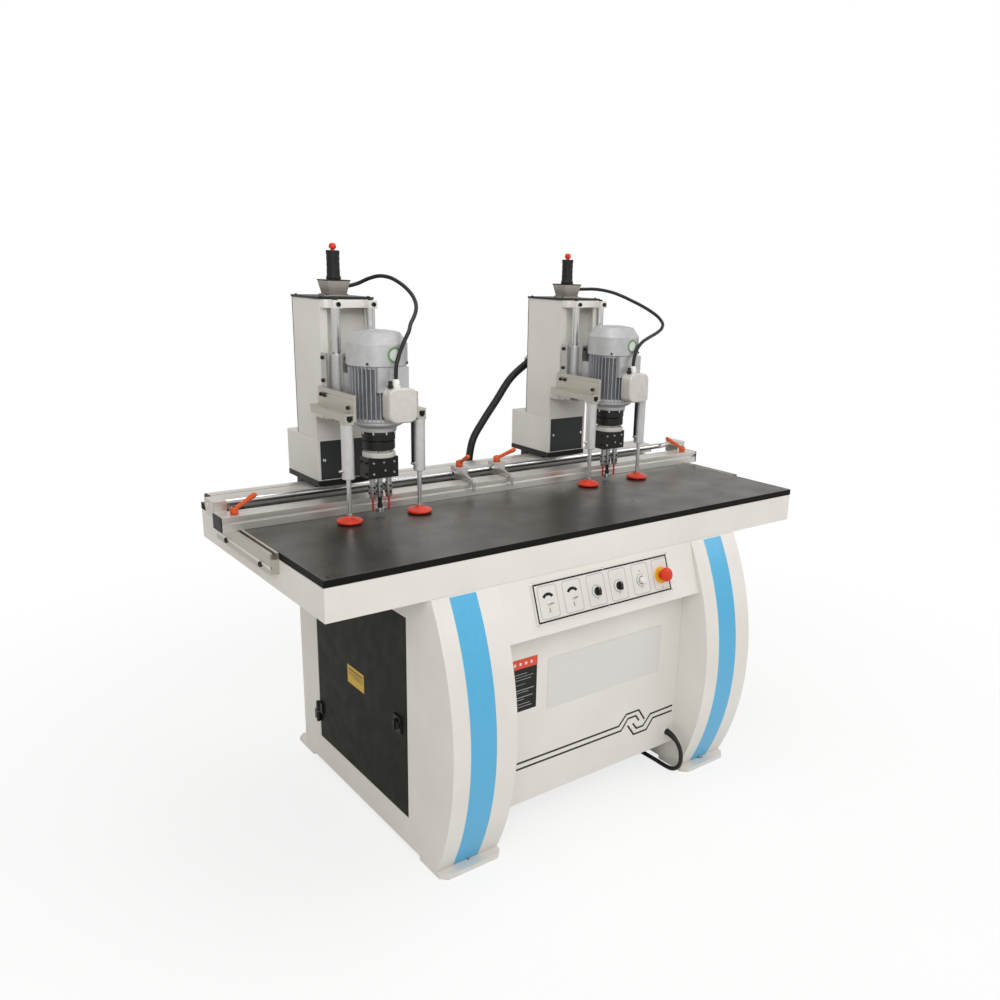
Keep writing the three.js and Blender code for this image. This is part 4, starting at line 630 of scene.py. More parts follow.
gearboxLook = {
    "ring": ("spin", "blackOxide", 64, [(41, 183.7), (43, 185), (43, 205), (41.5, 206.5), (41.5, 208),
                                        (44, 209.5), (44, 229.5), (42, 231.7)]),
    "flange": ("spin", "boxEnamel", 64, [(42, 163.6), (44, 165), (44, 175), (42.5, 177), (35, 179),
                                         (33, 184)]),
    "flangeScrews": ("screw", "steel", 3, [(a, b, 177) for a, b in circle(38, 6)]),
    "block": ("box", "blackOxide", ((-44, 44), (-26, 26), (107.7, 163.7))),
    "frontScrews": ("screw", "steel", 3.2, [(-30, -26, 150), (-30, -26, 121), (0, -26, 150), (30, -26, 150),
                                            (30, -26, 121), (4, -26, 128)], frontward),
    "sideScrews": ("screw", "blackOxide", 3.2, [(-44, -14, 150), (-44, -14, 121), (-44, 14, 150)], -alongX),
}
lugLook = {"count": 6, "reach": 40, "height": 222, "lug": [(5, 0), (5, 4)]}
spindleLook = {
    "journal": ("spin", "steel", 24, [(6, 104), (6, 121)]),
    "sleeve": ("spin", "steel", 40, [(6, 50.4), (8.5, 52), (9.5, 55), (9.5, 91), (8, 93), (8, 105),
                                     (9.2, 106), (9.2, 107.3)]),
    "frontScrews": ("screw", "blackOxide", 3, [(0, -8.6, 66), (0, -8.6, 82)], frontward),
    "sideScrews": ("screw", "blackOxide", 3, [(-8.6, 0, 66), (-8.6, 0, 82)], -alongX),
}
cupLook = {
    "shank": ("spin", "blackOxide", 32, [(5.6, 51), (5.6, 31), (7.2, 29), (7.2, 22)]),
    "cup": ("spin", "steel", 40, [(13.2, 22.4), (14, 21.5), (14, 11), (13.2, 10.2), (3, 11.5), (1.4, 10),
                                  (0, 7.2)]),
    "rightSpur": ("box", "steel", ((10.5, 13.2), (-2.8, -0.4), (7.4, 12))),
    "leftSpur": ("box", "steel", ((-13.2, -10.5), (0.4, 2.8), (7.4, 12))),
}
dowelLook = {"bit": ("spin", "bitCoat", 24, [(2.6, 51), (2.6, 18), (1.6, 15), (0, 13)])}
spindles = {"centre": (0, 0, cupLook), "outer": (-24, -6, dowelLook), "inner": (24, -6, dowelLook)}


def makeDrive(side):
    gearbox = Solid(atHead(side, 0, depths["motor"])).add(gearboxLook)
    for a, b in circle(1, lugLook["count"]):
        foot = (a * lugLook["reach"], b * lugLook["reach"], lugLook["height"])
        gearbox.spin("blackOxide", 6, lugLook["lug"], [foot], (a, b, 0))
    gearbox.close(f"{side}BoringGearbox", f"{side}_slide", f"{side}_gearbox", 1.2)
    for kind, (x, y, bit) in spindles.items():
        spindle = Solid(atHead(side, x, depths["motor"] + y)).add(spindleLook).add(bit)
        name, node = f"{side}{kind.capitalize()}Spindle", f"{side}_{kind}_spindle"
        spindle.close(name, f"{side}_{kind}_bit", node, 0.3)


clampMiddle = 104.8
clampLook = {
    "barrel": ("spin", "tubeAluminium", 48, [(14.5, 118), (16.6, 119.5), (16.6, 128), (16, 128.6), (16, 249),
                                             (16.6, 249.6), (16.6, 259), (15, 260.3)]),
    "shoe": ("box", "barAluminium", ((-13, 13), (-16, 16), (260, 267.3))),
    "nut": ("box", "blackOxide", ((-7.6, 7.6), (-17.2, -9), (272, 282))),
    "nutScrew": ("screw", "blackOxide", 5.5, [(0, -16.5, 277)], frontward),
    "fitting": ("spin", "chrome", 24, [(4.5, 0), (4.5, 5), (3.4, 6), (3.4, 10)], [(-15, 0, 140)], -alongX),
}
barLook = {
    # distance out from the cylinder's axis, height
    "section": [(-18.5, 267), (-4.7, 267), (-4.7, 271), (-8.2, 271), (-8.2, 283), (8.2, 283), (8.2, 271),
                (4.7, 271), (4.7, 267), (11.5, 267), (11.5, 286.5), (13.5, 287.5), (13.5, 289), (-11.5, 289),
                (-11.5, 318), (-12.5, 319), (-12.5, 322), (-11.5, 323), (-11.5, 335), (-18.5, 335)],
    "depth": (-18, 192),
    "screws": [(-11.5, 12, 300), (-11.5, 148, 316), (-11.5, 169, 316)],
    "screwSize": 5.2,
}
# only the right bar carries a sensor
sensorLook = {"b": {"sensor": ("box", "blackPlastic", ((-22.5, -17.5), (-4, 4), (136, 256)))}, "a": {}}
footLook = {
    "rod": ("spin", "chrome", 32, [(6, 18), (6, 183.5)]),
    "nut": ("spin", "steel", 6, [(9, 18.5), (9, 24)]),
    "pad": ("spin", "padRubber", 64, [(30, 2), (33, 3.2), (34, 5.5), (34, 8), (32.6, 10.2), (26, 13),
                                      (17, 15), (12.5, 17.5), (11.5, 20)]),
}


def makeClamp(side, letter, out):
    # extruded angle bar with a T-slot, and the air cylinder that hangs from its front end
    place = atHead(side, out * clampMiddle, depths["clamp"])
    clamp = Solid(place)
    clamp.bar("barAluminium", [(out * a, b) for a, b in barLook["section"]], "Y", *barLook["depth"])
    feet = [(out * x, y, z) for x, y, z in barLook["screws"]]
    clamp.screw("blackOxide", barLook["screwSize"], feet, alongX * out)
    clamp.add(clampLook).add(sensorLook[letter])
    clamp.close(f"{side}Clamp{letter.upper()}", f"{side}_slide", f"{side}_clamp_{letter}", 0.5)
    foot = Solid(place).add(footLook)
    foot.close(f"{side}ClampPad{letter.upper()}", f"{side}_foot_{letter}", f"{side}_clamp_foot_{letter}", 0.4)


bracketLook = {
    "plate": ("box", "blackCoat", ((-81, 81), (-75, 104), (560.3, 566.3))),
    "flange": ("box", "bracketSteel", ((-38, 38), (-27, 27), (566, 569.3))),
    "hopper": ("shell", "bracketSteel", "Z", 3, (-25, 25, -25, 25),
               [(0, 569, 2.5), (-1, 572, 2.5), (-8, 604, 2.5), (-8, 606.5, 2.5)]),
    "rim": ("box", "blackCoat", ((-34, 34), (-34, 34), (606.3, 609.3))),
    "gland": ("spin", "blackPlastic", 6, [(9, 0), (9, 6), (7, 8)], [(27.3, 0, 592.97)], alongX),
    "screws": ("spin", "blackOxide", 24, [(4, -0.4), (4, 1.6), (2.4, 2.6)], [
        (-30, -17, 569.3), (30, -17, 569.3), (-32, 19, 569.3), (32, 19, 569.3),
        (-70, -64, 566.3), (70, -64, 566.3), (-70, 93, 566.3), (70, 93, 566.3)]),
}
gripLook = {
    "grip": ("spin", "gripRubber", 48, [
        (19, 609.6), (20, 611), (20, 616), (18.4, 618), (17.6, 624), (18, 632), (17.2, 640), (17.8, 648),
        (17.1, 656), (17.8, 664), (17.3, 672), (18.4, 679), (18.4, 683.5), (16.5, 685.6)]),
}
buttonLook = {
    "button": ("spin", "redPlastic", 48, [(5.6, 680), (5.6, 689.5), (8.6, 690), (10, 693), (10, 697),
                                          (8.6, 701), (5, 704.2), (0, 705)]),
}
rodFeet = [(-51, 0, 0), (51, 0, 0)]
guideLook = {
    "header": ("box", "whiteCoat", ((-76.5, 76.5), (13, 39.6), (539, 559.6))),
    "highEyes": ("twins", "whiteCoat", (38, 64), (-17, 14), (539, 559.6)),
    "foot": ("box", "whiteCoat", ((-76.5, 76.5), (13, 39.6), (246, 268))),
    "lowEyes": ("twins", "whiteCoat", (38, 64), (-17, 14), (246, 268)),
    "rods": ("spin", "chrome", 40, [(11.5, 246), (11.5, 540)], rodFeet),
    "collars": ("spin", "steel", 40, [(14.5, 268), (14.5, 271), (13, 272)], rodFeet),
    "nuts": ("spin", "blackOxide", 6, [(7, 559), (7, 563.5), (6, 565)], rodFeet),
    "bolts": ("screw", "blackOxide", 6, [(-51, -17, 549.5), (51, -17, 549.5), (-51, -17, 257),
                                         (51, -17, 257)], frontward),
}
carriageLook = {
    "plate": ("box", "plateAluminium", ((-58, 58), (-45, -29), (252, 426))),
    "highWeb": ("box", "plateAluminium", ((-85.7, 85.7), (-5, 19), (300, 311))),
    "lowWeb": ("box", "plateAluminium", ((-85.7, 85.7), (-29.5, 19), (252, 262))),
    "sides": ("twins", "plateAluminium", (79, 86), (-5, 25), (279, 424.5)),
    "bearings": ("spin", "casting", 48, [(12, 311), (19, 311), (20, 312.5), (20, 419.5), (19, 421),
                                         (12, 421)], rodFeet, alongZ, True),
    "frontScrews": ("screw", "blackOxide", 5, [(-48, -45, 414), (48, -45, 414), (-48, -45, 264),
                                               (48, -45, 264)], frontward),
    "leftScrews": ("screw", "blackOxide", 5.2, [(-86, 11, 412), (-86, 11, 352)], -alongX),
    "rightScrews": ("screw", "blackOxide", 5.2, [(86, 11, 412), (86, 11, 352)], alongX),
}
# folded saddle on its black base plate, which rides the rail on two bearings and two keepers
saddleLook = {
    # from front to rear and back inside
    "body": ("shell", "greyCoat", "Y", 4, (-78, 78, 59.3, 180.3), [
        (1, 623, 1), (0, 624, 2), (0, 831, 2), (1, 832, 1), (15, 832, 2), (15, 822, 2), (5, 822, 2),
        (5, 628, 2)]),
    "plate": ("box", "blackCoat", ((-78.3, 78.3), (623, 832), (44, 59.2))),
    "bearings": ("twins", "blackOxide", (46, 77.5), (648, 736), (38.4, 44.4)),
    "keepers": ("twins", "blackOxide", (46, 77.5), (742.5, 776), (26.5, 44.4)),
    "cover": ("box", "darkCover", ((-70, 68), (621, 623.4), (63, 173))),
    "screws": ("spin", "chrome", 24, [(4.5, -0.5), (4.5, 1.2), (3, 2)], [(-60, 621, 118), (60, 621, 118)],
               frontward),
}
# rear cover, and the sheet that closes the column behind the rods
columnLook = {
    "rearCover": ("box", "blackCoat", ((-78.8, 78.8), (749.8, 751.6), (182, 560))),
    "innerSheet": ("box", "whiteCoat", ((-69.6, 69.6), (618, 620), (253.2, 551.4))),
}
# pieces of the head: shapes, depth they count from, body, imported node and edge
headPieces = {
    "HandleBracket": (bracketLook, depths["grip"], "head", "top_plate", 0.5),
    "RubberGrip": (gripLook, depths["grip"], "head", "grip", 0.4),
    "TriggerButton": (buttonLook, depths["grip"], "trigger", "thumb_button", 0.3),
    "GuideRods": (guideLook, depths["guides"], "head", "guides", 0.8),
    "SlideCarriage": (carriageLook, depths["guides"], "slide", "carriage", 0.8),
    "SaddleShell": (saddleLook, 0, "head", "saddle", 0.4),
    "ColumnEdge": (columnLook, 0, "head", None, 0.2),
}

for side in headPlaces:
    makeMotor(side)
    makeDrive(side)
    makeClamp(side, "a", -1)
    makeClamp(side, "b", 1)
    for name, (look, depth, body, node, edge) in headPieces.items():
        piece = Solid(atHead(side, 0, depth)).add(look)
        piece.close(side + name, f"{side}_{body}", node and f"{side}_{node}", edge)

leverLook = {
    "hub": {"hub": ("spin", "orangePlastic", 40, [(9.5, 0), (11, 1.2), (11, 13), (9.5, 16), (6, 17)]),
            "screw": ("spin", "blackOxide", 24, [(4, 16), (4, 18), (3, 18.6)])},
    "armFoot": (0, 0, 10),
    "rise": 28,
    "arm": [(6.4, 0), (5.6, 8), (5.4, 20), (6, 40), (7, 58)],
    "tip": [(7, -4), (6.4, 1), (4.5, 5), (0, 7)],
    "studRadius": 4,
}
# reach of the arm, depth of the stud, and for each lever the place of its hub and its turn
levers = {
    "fence": {"reach": 60, "stud": 52, "left": ((-812, 491, 884.6), 12), "right": ((812, 491, 884.6), 110)},
    "stop": {"reach": 54, "stud": 9.4, "left": ((-90, 567, 914.3), 265), "right": ((49, 567, 914.3), -38)},
}


def makeLever(side, kind):
    lever = levers[kind]
    foot, turn = lever[side]
    handle = Solid(Matrix.Translation(foot) @ Matrix.Rotation(math.radians(turn), 4, "Z"))
    handle.add(leverLook["hub"])
    reach, rise, radius = lever["reach"], leverLook["rise"], leverLook["studRadius"]
    profile = leverLook["arm"] + [(r, math.hypot(reach, rise) + h) for r, h in leverLook["tip"]]
    handle.spin("orangePlastic", 32, profile, [leverLook["armFoot"]], (reach, 0, rise))
    handle.spin("steel", 20, [(radius, -lever["stud"]), (radius, 0.5)])
    handle.close(f"{side}{kind.capitalize()}Handle", f"{side}_{kind}_clamp", f"{side}_{kind}_lever", 0.4)


for kind in levers:
    for side in headPlaces:
        makeLever(side, kind)

print("stage 7: base, table and fence")
# bow of the legs' fronts: lowest and highest point of its arc, its depth, and how far its foot stands back
bow = {"low": 12, "high": 746.7, "bulge": 91, "setIn": 9, "toe": 18, "steps": 64}
sheetLooks = {
    "LegFront": {"left": (-535.4, -346.6), "right": (346.6, 535.4), "low": 12.3, "high": 746.6, "proud": 0.9,
                 "depth": 2.4, "finish": "whiteCoat", "edge": 0.5},
    "BlueStripe": {"left": (-486, -410), "right": (400, 475), "low": 14, "high": 744, "proud": 1.3,
                   "depth": 0.6, "finish": "blueFilm", "edge": 0},
}


def legFront(z):
    # an arc that starts under the apron and stands back a little at the foot
    middle, half = (bow["low"] + bow["high"]) / 2, (bow["high"] - bow["low"]) / 2
    radius = (half ** 2 + bow["bulge"] ** 2) / (2 * bow["bulge"])
    deep = radius - bow["bulge"] - bow["setIn"]
    return deep - math.sqrt(radius ** 2 - (z - middle) ** 2) + (z - middle) * bow["toe"] / (2 * half)


def makeSheet(side, kind):
    # a rolled sheet or film that follows the bow of the leg
    look = sheetLooks[kind]
    left, right = look[side]
    rings = []
    for k in range(bow["steps"] + 1):
        z = look["low"] + (look["high"] - look["low"]) * k / bow["steps"]
        front = legFront(z) - look["proud"]
        rear = front + look["depth"]
        rings.append([(left, front, z), (right, front, z), (right, rear, z), (left, rear, z)])
    sheet = Solid()
    sheet.loft(rings, look["finish"])
    return sheet.close(side + kind, "base", edge=look["edge"])


signLook = {
    # signs on the front panel: range of x and z, corner, how proud, finish
    "plates": [((-165, 262, 350, 500, 3), 1.2, "signFilm"), ((-290, -203, 370, 494, 1), 0.4, "darkFilm"),
               ((-291, -202, 493.6, 521, 1), 0.5, "redFilm")],
    # uneven rows of grey dashes where the real label has its text: left, right, height, thickness
    "rows": [(-284, -236, 478, 1.6), (-282, -214, 470, 1.2), (-284, -222, 462, 1.6), (-283, -240, 448, 1.2),
             (-284, -212, 432, 2.2), (-280, -230, 425, 1.6), (-284, -216, 411, 2.2), (-282, -244, 404, 1.6),
             (-284, -226, 391, 1.6), (-283, -218, 383, 1.6)],
    "marks": {"at": [-276, -258, -240, -222], "half": 3.5, "z": (503, 511)},
    "panelFace": 12, "buried": 0.4, "rowProud": 0.55, "markProud": 0.6, "lineProud": 0.3,
}
pinstripe = {
    "width": 5.8,
    "lines": [
        [(-280, 214.5), (111, 212), (139, 242), (190, 242), (216, 204)],
        [(-281, 196.5), (121, 194), (147, 226), (179, 226), (193, 206)],
        [(335, 215), (240, 214), (212, 183), (184, 183), (168, 204)],
        [(335, 197), (252, 197), (227, 165.5), (174, 165.5), (147, 203)],
    ],
}


def inkLine(points, width):
    # a flat line of even width through the points, with mitred corners
    ways = [(Vector(end) - Vector(start)).normalized() for start, end in zip(points, points[1:])]
    left, right = [], []
    for k, point in enumerate(points):
        before, after = ways[max(k - 1, 0)], ways[min(k, len(ways) - 1)]
        mitre = Vector((-before.y - after.y, before.x + after.x))
        reach = mitre * (width / (1 + before.dot(after))) / 2
        left.append((point[0] + reach.x, point[1] + reach.y))
        right.append((point[0] - reach.x, point[1] - reach.y))
    return left + right[::-1]


def makeFrontSigns():
    signs = Solid()
    face, marks = signLook["panelFace"], signLook["marks"]
    proud = signLook["rowProud"]
    plates = signLook["plates"] + [((left, right, z - thick / 2, z + thick / 2, 0.3), proud, "greyFilm")
                                   for left, right, z, thick in signLook["rows"]]
    half, proud = marks["half"], signLook["markProud"]
    plates += [((x - half, x + half, *marks["z"], 1), proud, "signFilm") for x in marks["at"]]
    outlines = [(roundedBox(*outline, 3), proud, finish) for outline, proud, finish in plates]
    proud = signLook["lineProud"]
    outlines += [(inkLine(line, pinstripe["width"]), proud, "oliveFilm") for line in pinstripe["lines"]]
    for outline, proud, finish in outlines:
        signs.bar(finish, outline, "Y", face + signLook["buried"], face - proud)
    signs.close("frontSigns", "base", edge=0)


doorLook = {
    "label": ((-535.4, -534.6), (357, 456), (359, 414)),
    "rowDepth": (-535.5, -535),
    # printed rows on the label: front, rear, height, thickness
    "rows": [(364, 449, 403, 4), (364, 449, 395, 2), (364, 449, 389, 2), (364, 420, 383, 2)],
    "escutcheon": ((-540.25, -534.8), (147.8, 186.2), (330.8, 377.2)),
    # each hinge: foot of its knuckles, their axis, radius and length, and the two leaves
    "hinges": [150, 574.7], "axis": (-541.3, 654.75), "radius": 6.2, "length": 32, "leaf": 26.3,
    "leafThick": (-0.2, 3), "gap": 0.4,
}


def makeDoorTrim():
    trim, pins = Solid(), Solid()
    trim.box("yellowFilm", doorLook["label"])
    for front, rear, z, thick in doorLook["rows"]:
        trim.box("oliveFilm", (doorLook["rowDepth"], (front, rear), (z - thick / 2, z + thick / 2)))
    trim.box("blackPlastic", doorLook["escutcheon"])
    x, y = doorLook["axis"]
    length, gap, leaf = doorLook["length"], doorLook["gap"], doorLook["leaf"]
    for foot in doorLook["hinges"]:
        for solid, low, high, reach in ((pins, foot - gap / 2, foot + length - gap, leaf),
                                        (trim, foot + length + gap, foot + 2 * (length + gap), -leaf)):
            knuckle = [(doorLook["radius"], low), (doorLook["radius"], high)]
            solid.spin("blackPlastic", 32, knuckle, [(x, y, 0)])
            solid.box("blackPlastic", (doorLook["leafThick"], sorted((0, reach)), (low, high)), (x, y, 0))
    trim.close("doorTrim", "door", edge=0.2)
    pins.close("hingePins", "base", edge=0.2)


# black ABS edging glued round the board, and the screws of the board
edgingLook = {
    "front": ("box", "edgeBand", ((-800.6, 800.6), (-0.6, 0.4), (829.2, 846.2))),
    "rear": ("box", "edgeBand", ((-800.6, 800.6), (789.6, 790.6), (829.2, 846.2))),
    "ends": ("twins", "edgeBand", (799.4, 800.6), (0, 790), (829.2, 846.2)),
    "screws": ("spin", "blackOxide", 24, [(4.2, -0.5), (4.2, 0.35), (2, 0.1), (0, 0.1)],
               [(-780, 20, 846), (780, 20, 846), (-780, 770, 846), (780, 770, 846)]),
}
# anodised T-slot extrusions along the table's ends, bolted to the frame from outside
channelLook = {
    # distance out from the middle, height
    "slot": [(819, 808.2), (821.5, 808.2), (821.5, 813.8), (819, 813.8)],
    "section": [(800.6, 793.7), (824.25, 793.7), (824.25, 808), (820, 808), (820, 814), (824.25, 814),
                (824.25, 846.25), (816.3, 846.25), (816.3, 841.8), (819.7, 841.8), (819.7, 830.2),
                (804.3, 830.2), (804.3, 841.8), (807.7, 841.8), (807.7, 846.25), (800.6, 846.25)],
    "depth": (239.7, 600.3),
    "bolt": [(7, 0), (7, 4), (6, 5), (3.5, 5), (3.2, 2), (0, 2)],
    "boltFeet": [(823.6, 297, 806), (823.6, 528, 806)],
}
# section of the head rail, depth and height over the floor, and the same without its grooves for the ends
railSection = [(641, 857), (739, 857), (740, 858), (740, 868), (732, 868), (732, 874), (740, 874),
               (740, 879), (736, 883.5), (731, 885), (703, 885), (703, 878), (697, 878), (697, 885),
               (656, 885), (648, 883), (642, 878), (640, 872), (640, 858)]
railEnd = [(a, b) for a, b in railSection if not 690 < a < 710 and a != 732]
railLook = {
    "rail": ("bar", "railAluminium", railSection, "X", -803, 803),
    "leftEnd": ("bar", "blackPlastic", railEnd, "X", -806, -803),
    "rightEnd": ("bar", "blackPlastic", railEnd, "X", 803, 806),
    "feet": ("twins", "steel", (635, 725), (655, 725), (846.3, 857.3)),
    "middleFoot": ("box", "steel", ((-45, 45), (655, 725), (846.3, 857.3))),
}
# ground stop rail and plastic end caps
fenceLook = {
    "stopRail": ("spin", "chrome", 32, [(9.15, -800), (9.15, 800)], [(0, 567, 895)], alongX),
    "caps": ("twins", "blackPlastic", (853.8, 857), (461.2, 520.8), (846.4, 884.6)),
}
boltLook = {
    "washer": ("spin", "steel", 32, [(9, 11.8), (9, 13.6)], [(448, -20, 0)]),
    "head": ("spin", "steel", 6, [(6.5, 13.5), (6.5, 19.5), (5.5, 20.2)], [(448, -20, 0)]),
    "hole": ("spin", "shadow", 32, [(7, 11.6), (7, 12.15)], [(-442, -38, 0)]),
}


def makeChannel(side, out):
    channel = Solid()
    for kind, finish in (("slot", "shadow"), ("section", "barAluminium")):
        channel.bar(finish, [(out * a, b) for a, b in channelLook[kind]], "Y", *channelLook["depth"])
    feet = [(out * x, y, z) for x, y, z in channelLook["boltFeet"]]
    channel.spin("blackOxide", 24, channelLook["bolt"], feet, alongX * out)
    channel.close(f"{side}TableChannel", "base", edge=0.3)


for side in headPlaces:
    makeSheet(side, "LegFront")
    makeSheet(side, "BlueStripe")
makeFrontSigns()
makeDoorTrim()
Solid().add(edgingLook).close("boardEdging", "base", edge=0.4)
makeChannel("left", -1)
makeChannel("right", 1)
Solid().add(railLook).close("headRail", "base", "head_rail", 0.4)
Solid().add(fenceLook).close("fenceTrim", "fence_slide", edge=0.3)
Solid().add(boltLook).close("footBolts", "base", edge=0.3)

print("stage 8: controls")
# in this group the first number is x, the second runs up the slope of the fascia, the third stands off it
fascia = {"top": 746.7, "lean": 19.5, "seat": 0.3, "row": -74}
bezelFeet = [(-38, -74, 0), (41, -74, 0), (125, -74, 0)]
gaugeFeet = [(-201, -76, 0), (-120, -76, 0)]
panelLook = {
    "sheet": ("bar", "greyCoat", roundedBox(-249, 239, -126, -14, 3, 3), "Z", 0, 3),
    "hubs": ("spin", "chrome", 32, [(4.6, 2.7), (4.6, 6), (3.6, 7)], gaugeFeet),
    "screws": ("spin", "chrome", 24, [(3.6, 2.7), (3.6, 4.2), (2.4, 5)],
               [(-245, -18, 0), (235, -18, 0), (-245, -122, 0), (235, -122, 0), (-5, -18, 0), (-5, -122, 0)]),
    "bezels": ("spin", "whitePlastic", 48, [(15.4, 2), (15.4, 5.6), (14, 7.2), (12.2, 7.25), (11.9, 3.1)],
               bezelFeet),
    "rings": ("spin", "greyFilm", 48, [(17.4, 2.7), (17.4, 3.25), (14, 3.25)], bezelFeet),
    "stopRing": ("spin", "yellowPlastic", 64, [(24, 2), (24, 4.6), (23, 5.3), (13, 5.35), (12.7, 3.1)],
                 [(203, -74, 0)]),
}
inkLook = {
    # drawn frames: middle, half width, half height, corner, width of the line, top of the ink, finish
    "border": (-5, -70, 239, 51, 3, 4.4, 3.25, "darkFilm"),
    "cells": [-201, -120, -38, 41, 125, 203], "cell": (-70, 31, 43, 9, 1.5, 3.2, "greyFilm"),
    "low": 2.7,
    # round each gauge's hub: an arc, a pointer and a tick
    "arc": (14, 22, 35, 145), "arcRise": 8, "arcHigh": 3.3,
    "pointer": ((-1, 13), (-0.6, 1.4), (6.4, 7.6)),
    "tick": ((-2, 2), (-18, -10), (2.7, 3.2)),
    "note": ((-3, 3), (-1.5, 1.5), (2.7, 3.2)),
    "notes": [(-201, -96, 0), (-120, -96, 0), (-38, -94, 0), (41, -94, 0), (125, -94, 0), (203, -108, 0),
              (125, -48, 0)],
}
knobLook = {
    "knob": ("spin", "blackPlastic", 48, [(11.4, 3.3), (11.4, 10), (10.4, 11.6)]),
    "handle": ("bar", "blackPlastic", roundedBox(-4.6, 4.6, -11.2, 11.2, 3), "Z", 8, 17.2),
    "mark": ("box", "whitePlastic", ((-0.7, 0.7), (6.2, 10.6), (16.9, 17.4))),
}
startLook = {"cap": ("spin", "whitePlastic", 48, [(9.4, 6.4), (9.4, 15.4), (8.4, 17), (0, 17)])}
stopLook = {
    "neck": ("spin", "redPlastic", 48, [(11, 6.4), (11, 22), (12, 23)]),
    "mushroom": ("spin", "redPlastic", 64, [(14, 21.8), (19, 22), (20, 23.5), (20, 28.5), (18, 32), (11, 34),
                                            (0, 34)]),
}
# controls that move: shapes, x, body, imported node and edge
controls = {
    "leftSelectorKnob": (knobLook, -38, "selector_left", "left_selector", 0.6),
    "rightSelectorKnob": (knobLook, 41, "selector_right", "right_selector", 0.6),
    "startCap": (startLook, 125, "start", "start_button", 0.3),
    "stopMushroom": (stopLook, 203, "stop_head", "emergency_stop", 0.4),
}


def onFascia(x=0, y=0):
    # x along the machine, y up the slope, z straight off the face
    lean = math.radians(fascia["lean"])
    up, off = Vector((0, math.sin(lean), math.cos(lean))), Vector((0, -math.cos(lean), math.sin(lean)))
    turn = Matrix(((1, up.x, off.x), (0, up.y, off.y), (0, up.z, off.z))).to_4x4()
    foot = Matrix.Translation((0, -fascia["seat"] * math.cos(lean), fascia["top"]))
    return foot @ turn @ Matrix.Translation((x, y, 0))


def addFrame(panel, x, y, half, tall, corner, width, high, finish):
    # a drawn line round a rectangle, as one closed ring
    low, inner = inkLook["low"], max(corner - width, 0.5)
    skins = [(0, low, corner), (0, high, corner), (width, high, inner), (width, low, inner)]
    panel.shell(finish, "Z", 6, (x - half, x + half, y - tall, y + tall), skins, looped=True)


def arcBand(inner, outer, start, end, steps=20):
    angles = [math.radians(start + (end - start) * k / steps) for k in range(steps + 1)]
    return ([(outer * math.cos(t), outer * math.sin(t)) for t in angles]
            + [(inner * math.cos(t), inner * math.sin(t)) for t in reversed(angles)])


def makePanelFace():
    panel = Solid(onFascia()).add(panelLook)
    addFrame(panel, *inkLook["border"])
    for x in inkLook["cells"]:
        addFrame(panel, x, *inkLook["cell"])
    for x, y, z in gaugeFeet:
        arc = [(x + a, y + inkLook["arcRise"] + b) for a, b in arcBand(*inkLook["arc"])]
        panel.bar("darkFilm", arc, "Z", inkLook["low"], inkLook["arcHigh"])
        panel.box("blackPlastic", inkLook["pointer"], (x, y, z))
        panel.box("greyFilm", inkLook["tick"], (x, y, z))
    for place in inkLook["notes"]:
        panel.box("greyFilm", inkLook["note"], place)
    panel.close("panelFace", "base", "control_panel", 0.15)


makePanelFace()
for name, (look, x, body, node, edge) in controls.items():
    Solid(onFascia(x, fascia["row"])).add(look).close(name, body, node, edge)

print("stage 9: floor and light")
floorLook = {"size": 30, "white": 0.76, "nearby": (0.9, 2.6), "patch": 400, "roughness": 0.9,
             "colours": ("#FBFBFB", "#F8F8F8")}
# strength of the air near the horizon and overhead, as light and as seen in bright surfaces
airLook = {"fill": (0.38, 0.7), "mirrored": (0.95, 0.6), "colour": "#FBF8F4", "band": (-0.1, 0.9)}
# place of each lamp, the point it faces, size in m, power in W and spread in degrees
lamps = {
    "keyLamp": ((-1900, -2300, 3000), (0, 200, 800), 1.6, 35, 180),
    "fillLamp": ((2400, -1800, 2400), (0, 200, 800), 1.8, 20, 180),
    "topLamp": ((200, 400, 3600), (0, 300, 800), 1.6, 21, 180),
    "columnLamp": ((-1500, -1900, 2100), (0, 700, 1230), 0.5, 0.8, 40),
}


def mixShaders(tree, share, first, second):
    links = {0: share, 1: first.outputs[0], 2: second.outputs[0]}
    return addNode(tree, "ShaderNodeMixShader", links)


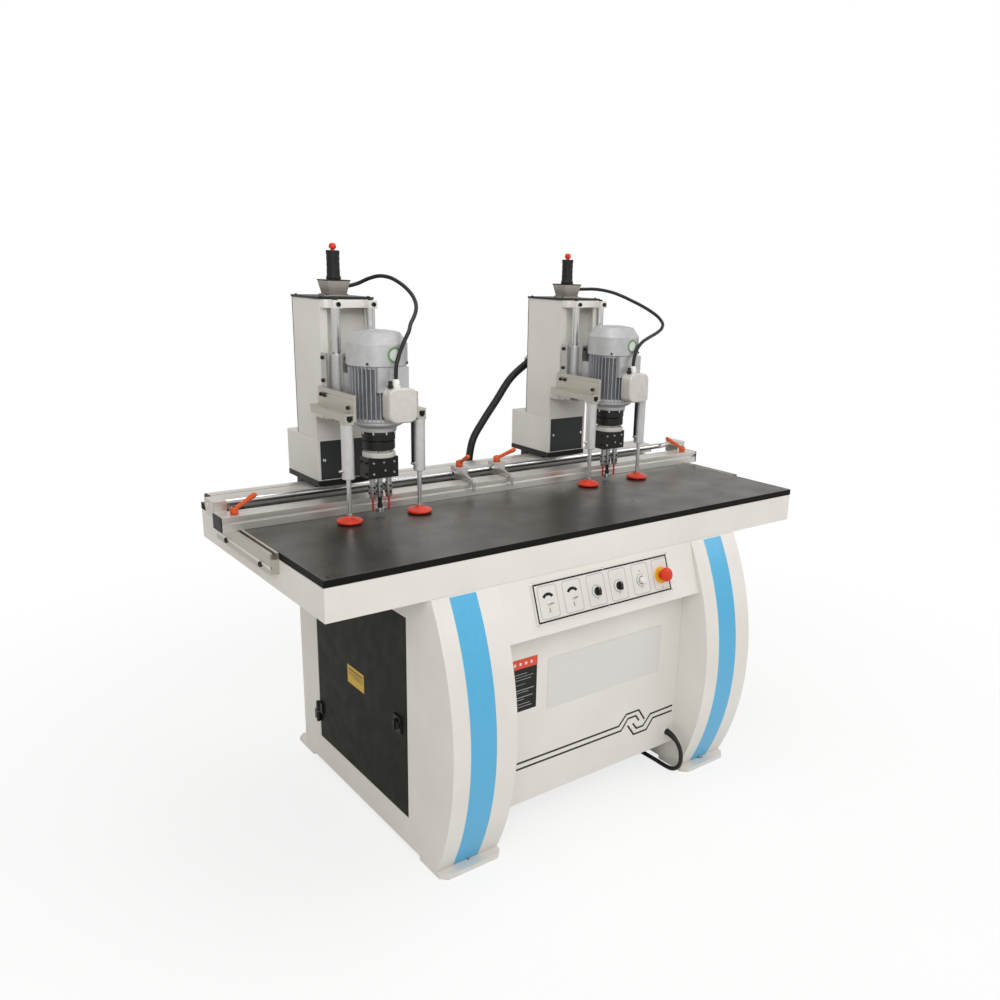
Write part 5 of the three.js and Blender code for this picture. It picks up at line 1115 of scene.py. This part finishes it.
def makeStage():
    size = floorLook["size"]
    mesh = bpy.data.meshes.new("studioFloor")
    corners = [(-size, -size, 0), (size, -size, 0), (size, size, 0), (-size, size, 0)]
    mesh.from_pydata(corners, [], [(0, 1, 2, 3)])
    floor = addObject("studioFloor", mesh)
    material, tree, place = startMaterial("paintedStudioFloor")
    shade = blendColours(tree, patches(tree, place, floorLook["patch"], 0, 1), *floorLook["colours"])
    links = {"Base Color": shade, "Roughness": floorLook["roughness"]}
    painted = addNode(tree, "ShaderNodeBsdfPrincipled", links)
    glow = addNode(tree, "ShaderNodeEmission", {"Color": (1, 1, 1, 1), "Strength": 1.0})
    reach = addNode(tree, "ShaderNodeVectorMath", {0: place}, operation="LENGTH").outputs["Value"]
    nearby = mapped(tree, reach, floorLook["white"], 1, *floorLook["nearby"], interpolation_type="SMOOTHSTEP")
    seen = addNode(tree, "ShaderNodeLightPath").outputs["Is Camera Ray"]
    share = addNode(tree, "ShaderNodeMath", {0: seen, 1: nearby}, operation="MULTIPLY").outputs[0]
    mixed = mixShaders(tree, share, painted, glow)
    addNode(tree, "ShaderNodeOutputMaterial", {"Surface": mixed.outputs[0]})
    mesh.materials.append(material)


def makeWorld():
    world = bpy.data.worlds.new("studioAir")
    world.use_nodes = True
    scene.world = world
    tree = world.node_tree
    tree.nodes.clear()
    ray = addNode(tree, "ShaderNodeLightPath").outputs
    sky = addNode(tree, "ShaderNodeTexCoord").outputs["Generated"]
    tilt = addNode(tree, "ShaderNodeSeparateXYZ", {"Vector": sky}).outputs["Z"]
    fill, mirrored = (addNode(tree, "ShaderNodeBackground",
                              {"Color": fromHex(airLook["colour"]),
                               "Strength": mapped(tree, tilt, *airLook[kind], *airLook["band"])})
                      for kind in ("fill", "mirrored"))
    white = addNode(tree, "ShaderNodeBackground", {"Color": (1, 1, 1, 1), "Strength": 1.0})
    inner = mixShaders(tree, ray["Is Glossy Ray"], fill, mirrored)
    outer = mixShaders(tree, ray["Is Camera Ray"], inner, white)
    addNode(tree, "ShaderNodeOutputWorld", {"Surface": outer.outputs[0]})


def makeLamp(name, place, target, size, power, spread):
    data = bpy.data.lights.new(name, "AREA")
    data.energy = power
    data.size = size
    data.spread = math.radians(spread)
    start, end = spot(*place), spot(*target)
    turn = (end - start).to_track_quat("-Z", "Y").to_matrix().to_4x4()
    addObject(name, data).matrix_world = Matrix.Translation(start) @ turn


makeStage()
makeWorld()
for name, lamp in lamps.items():
    makeLamp(name, *lamp)
scene.view_settings.view_transform = "Standard"
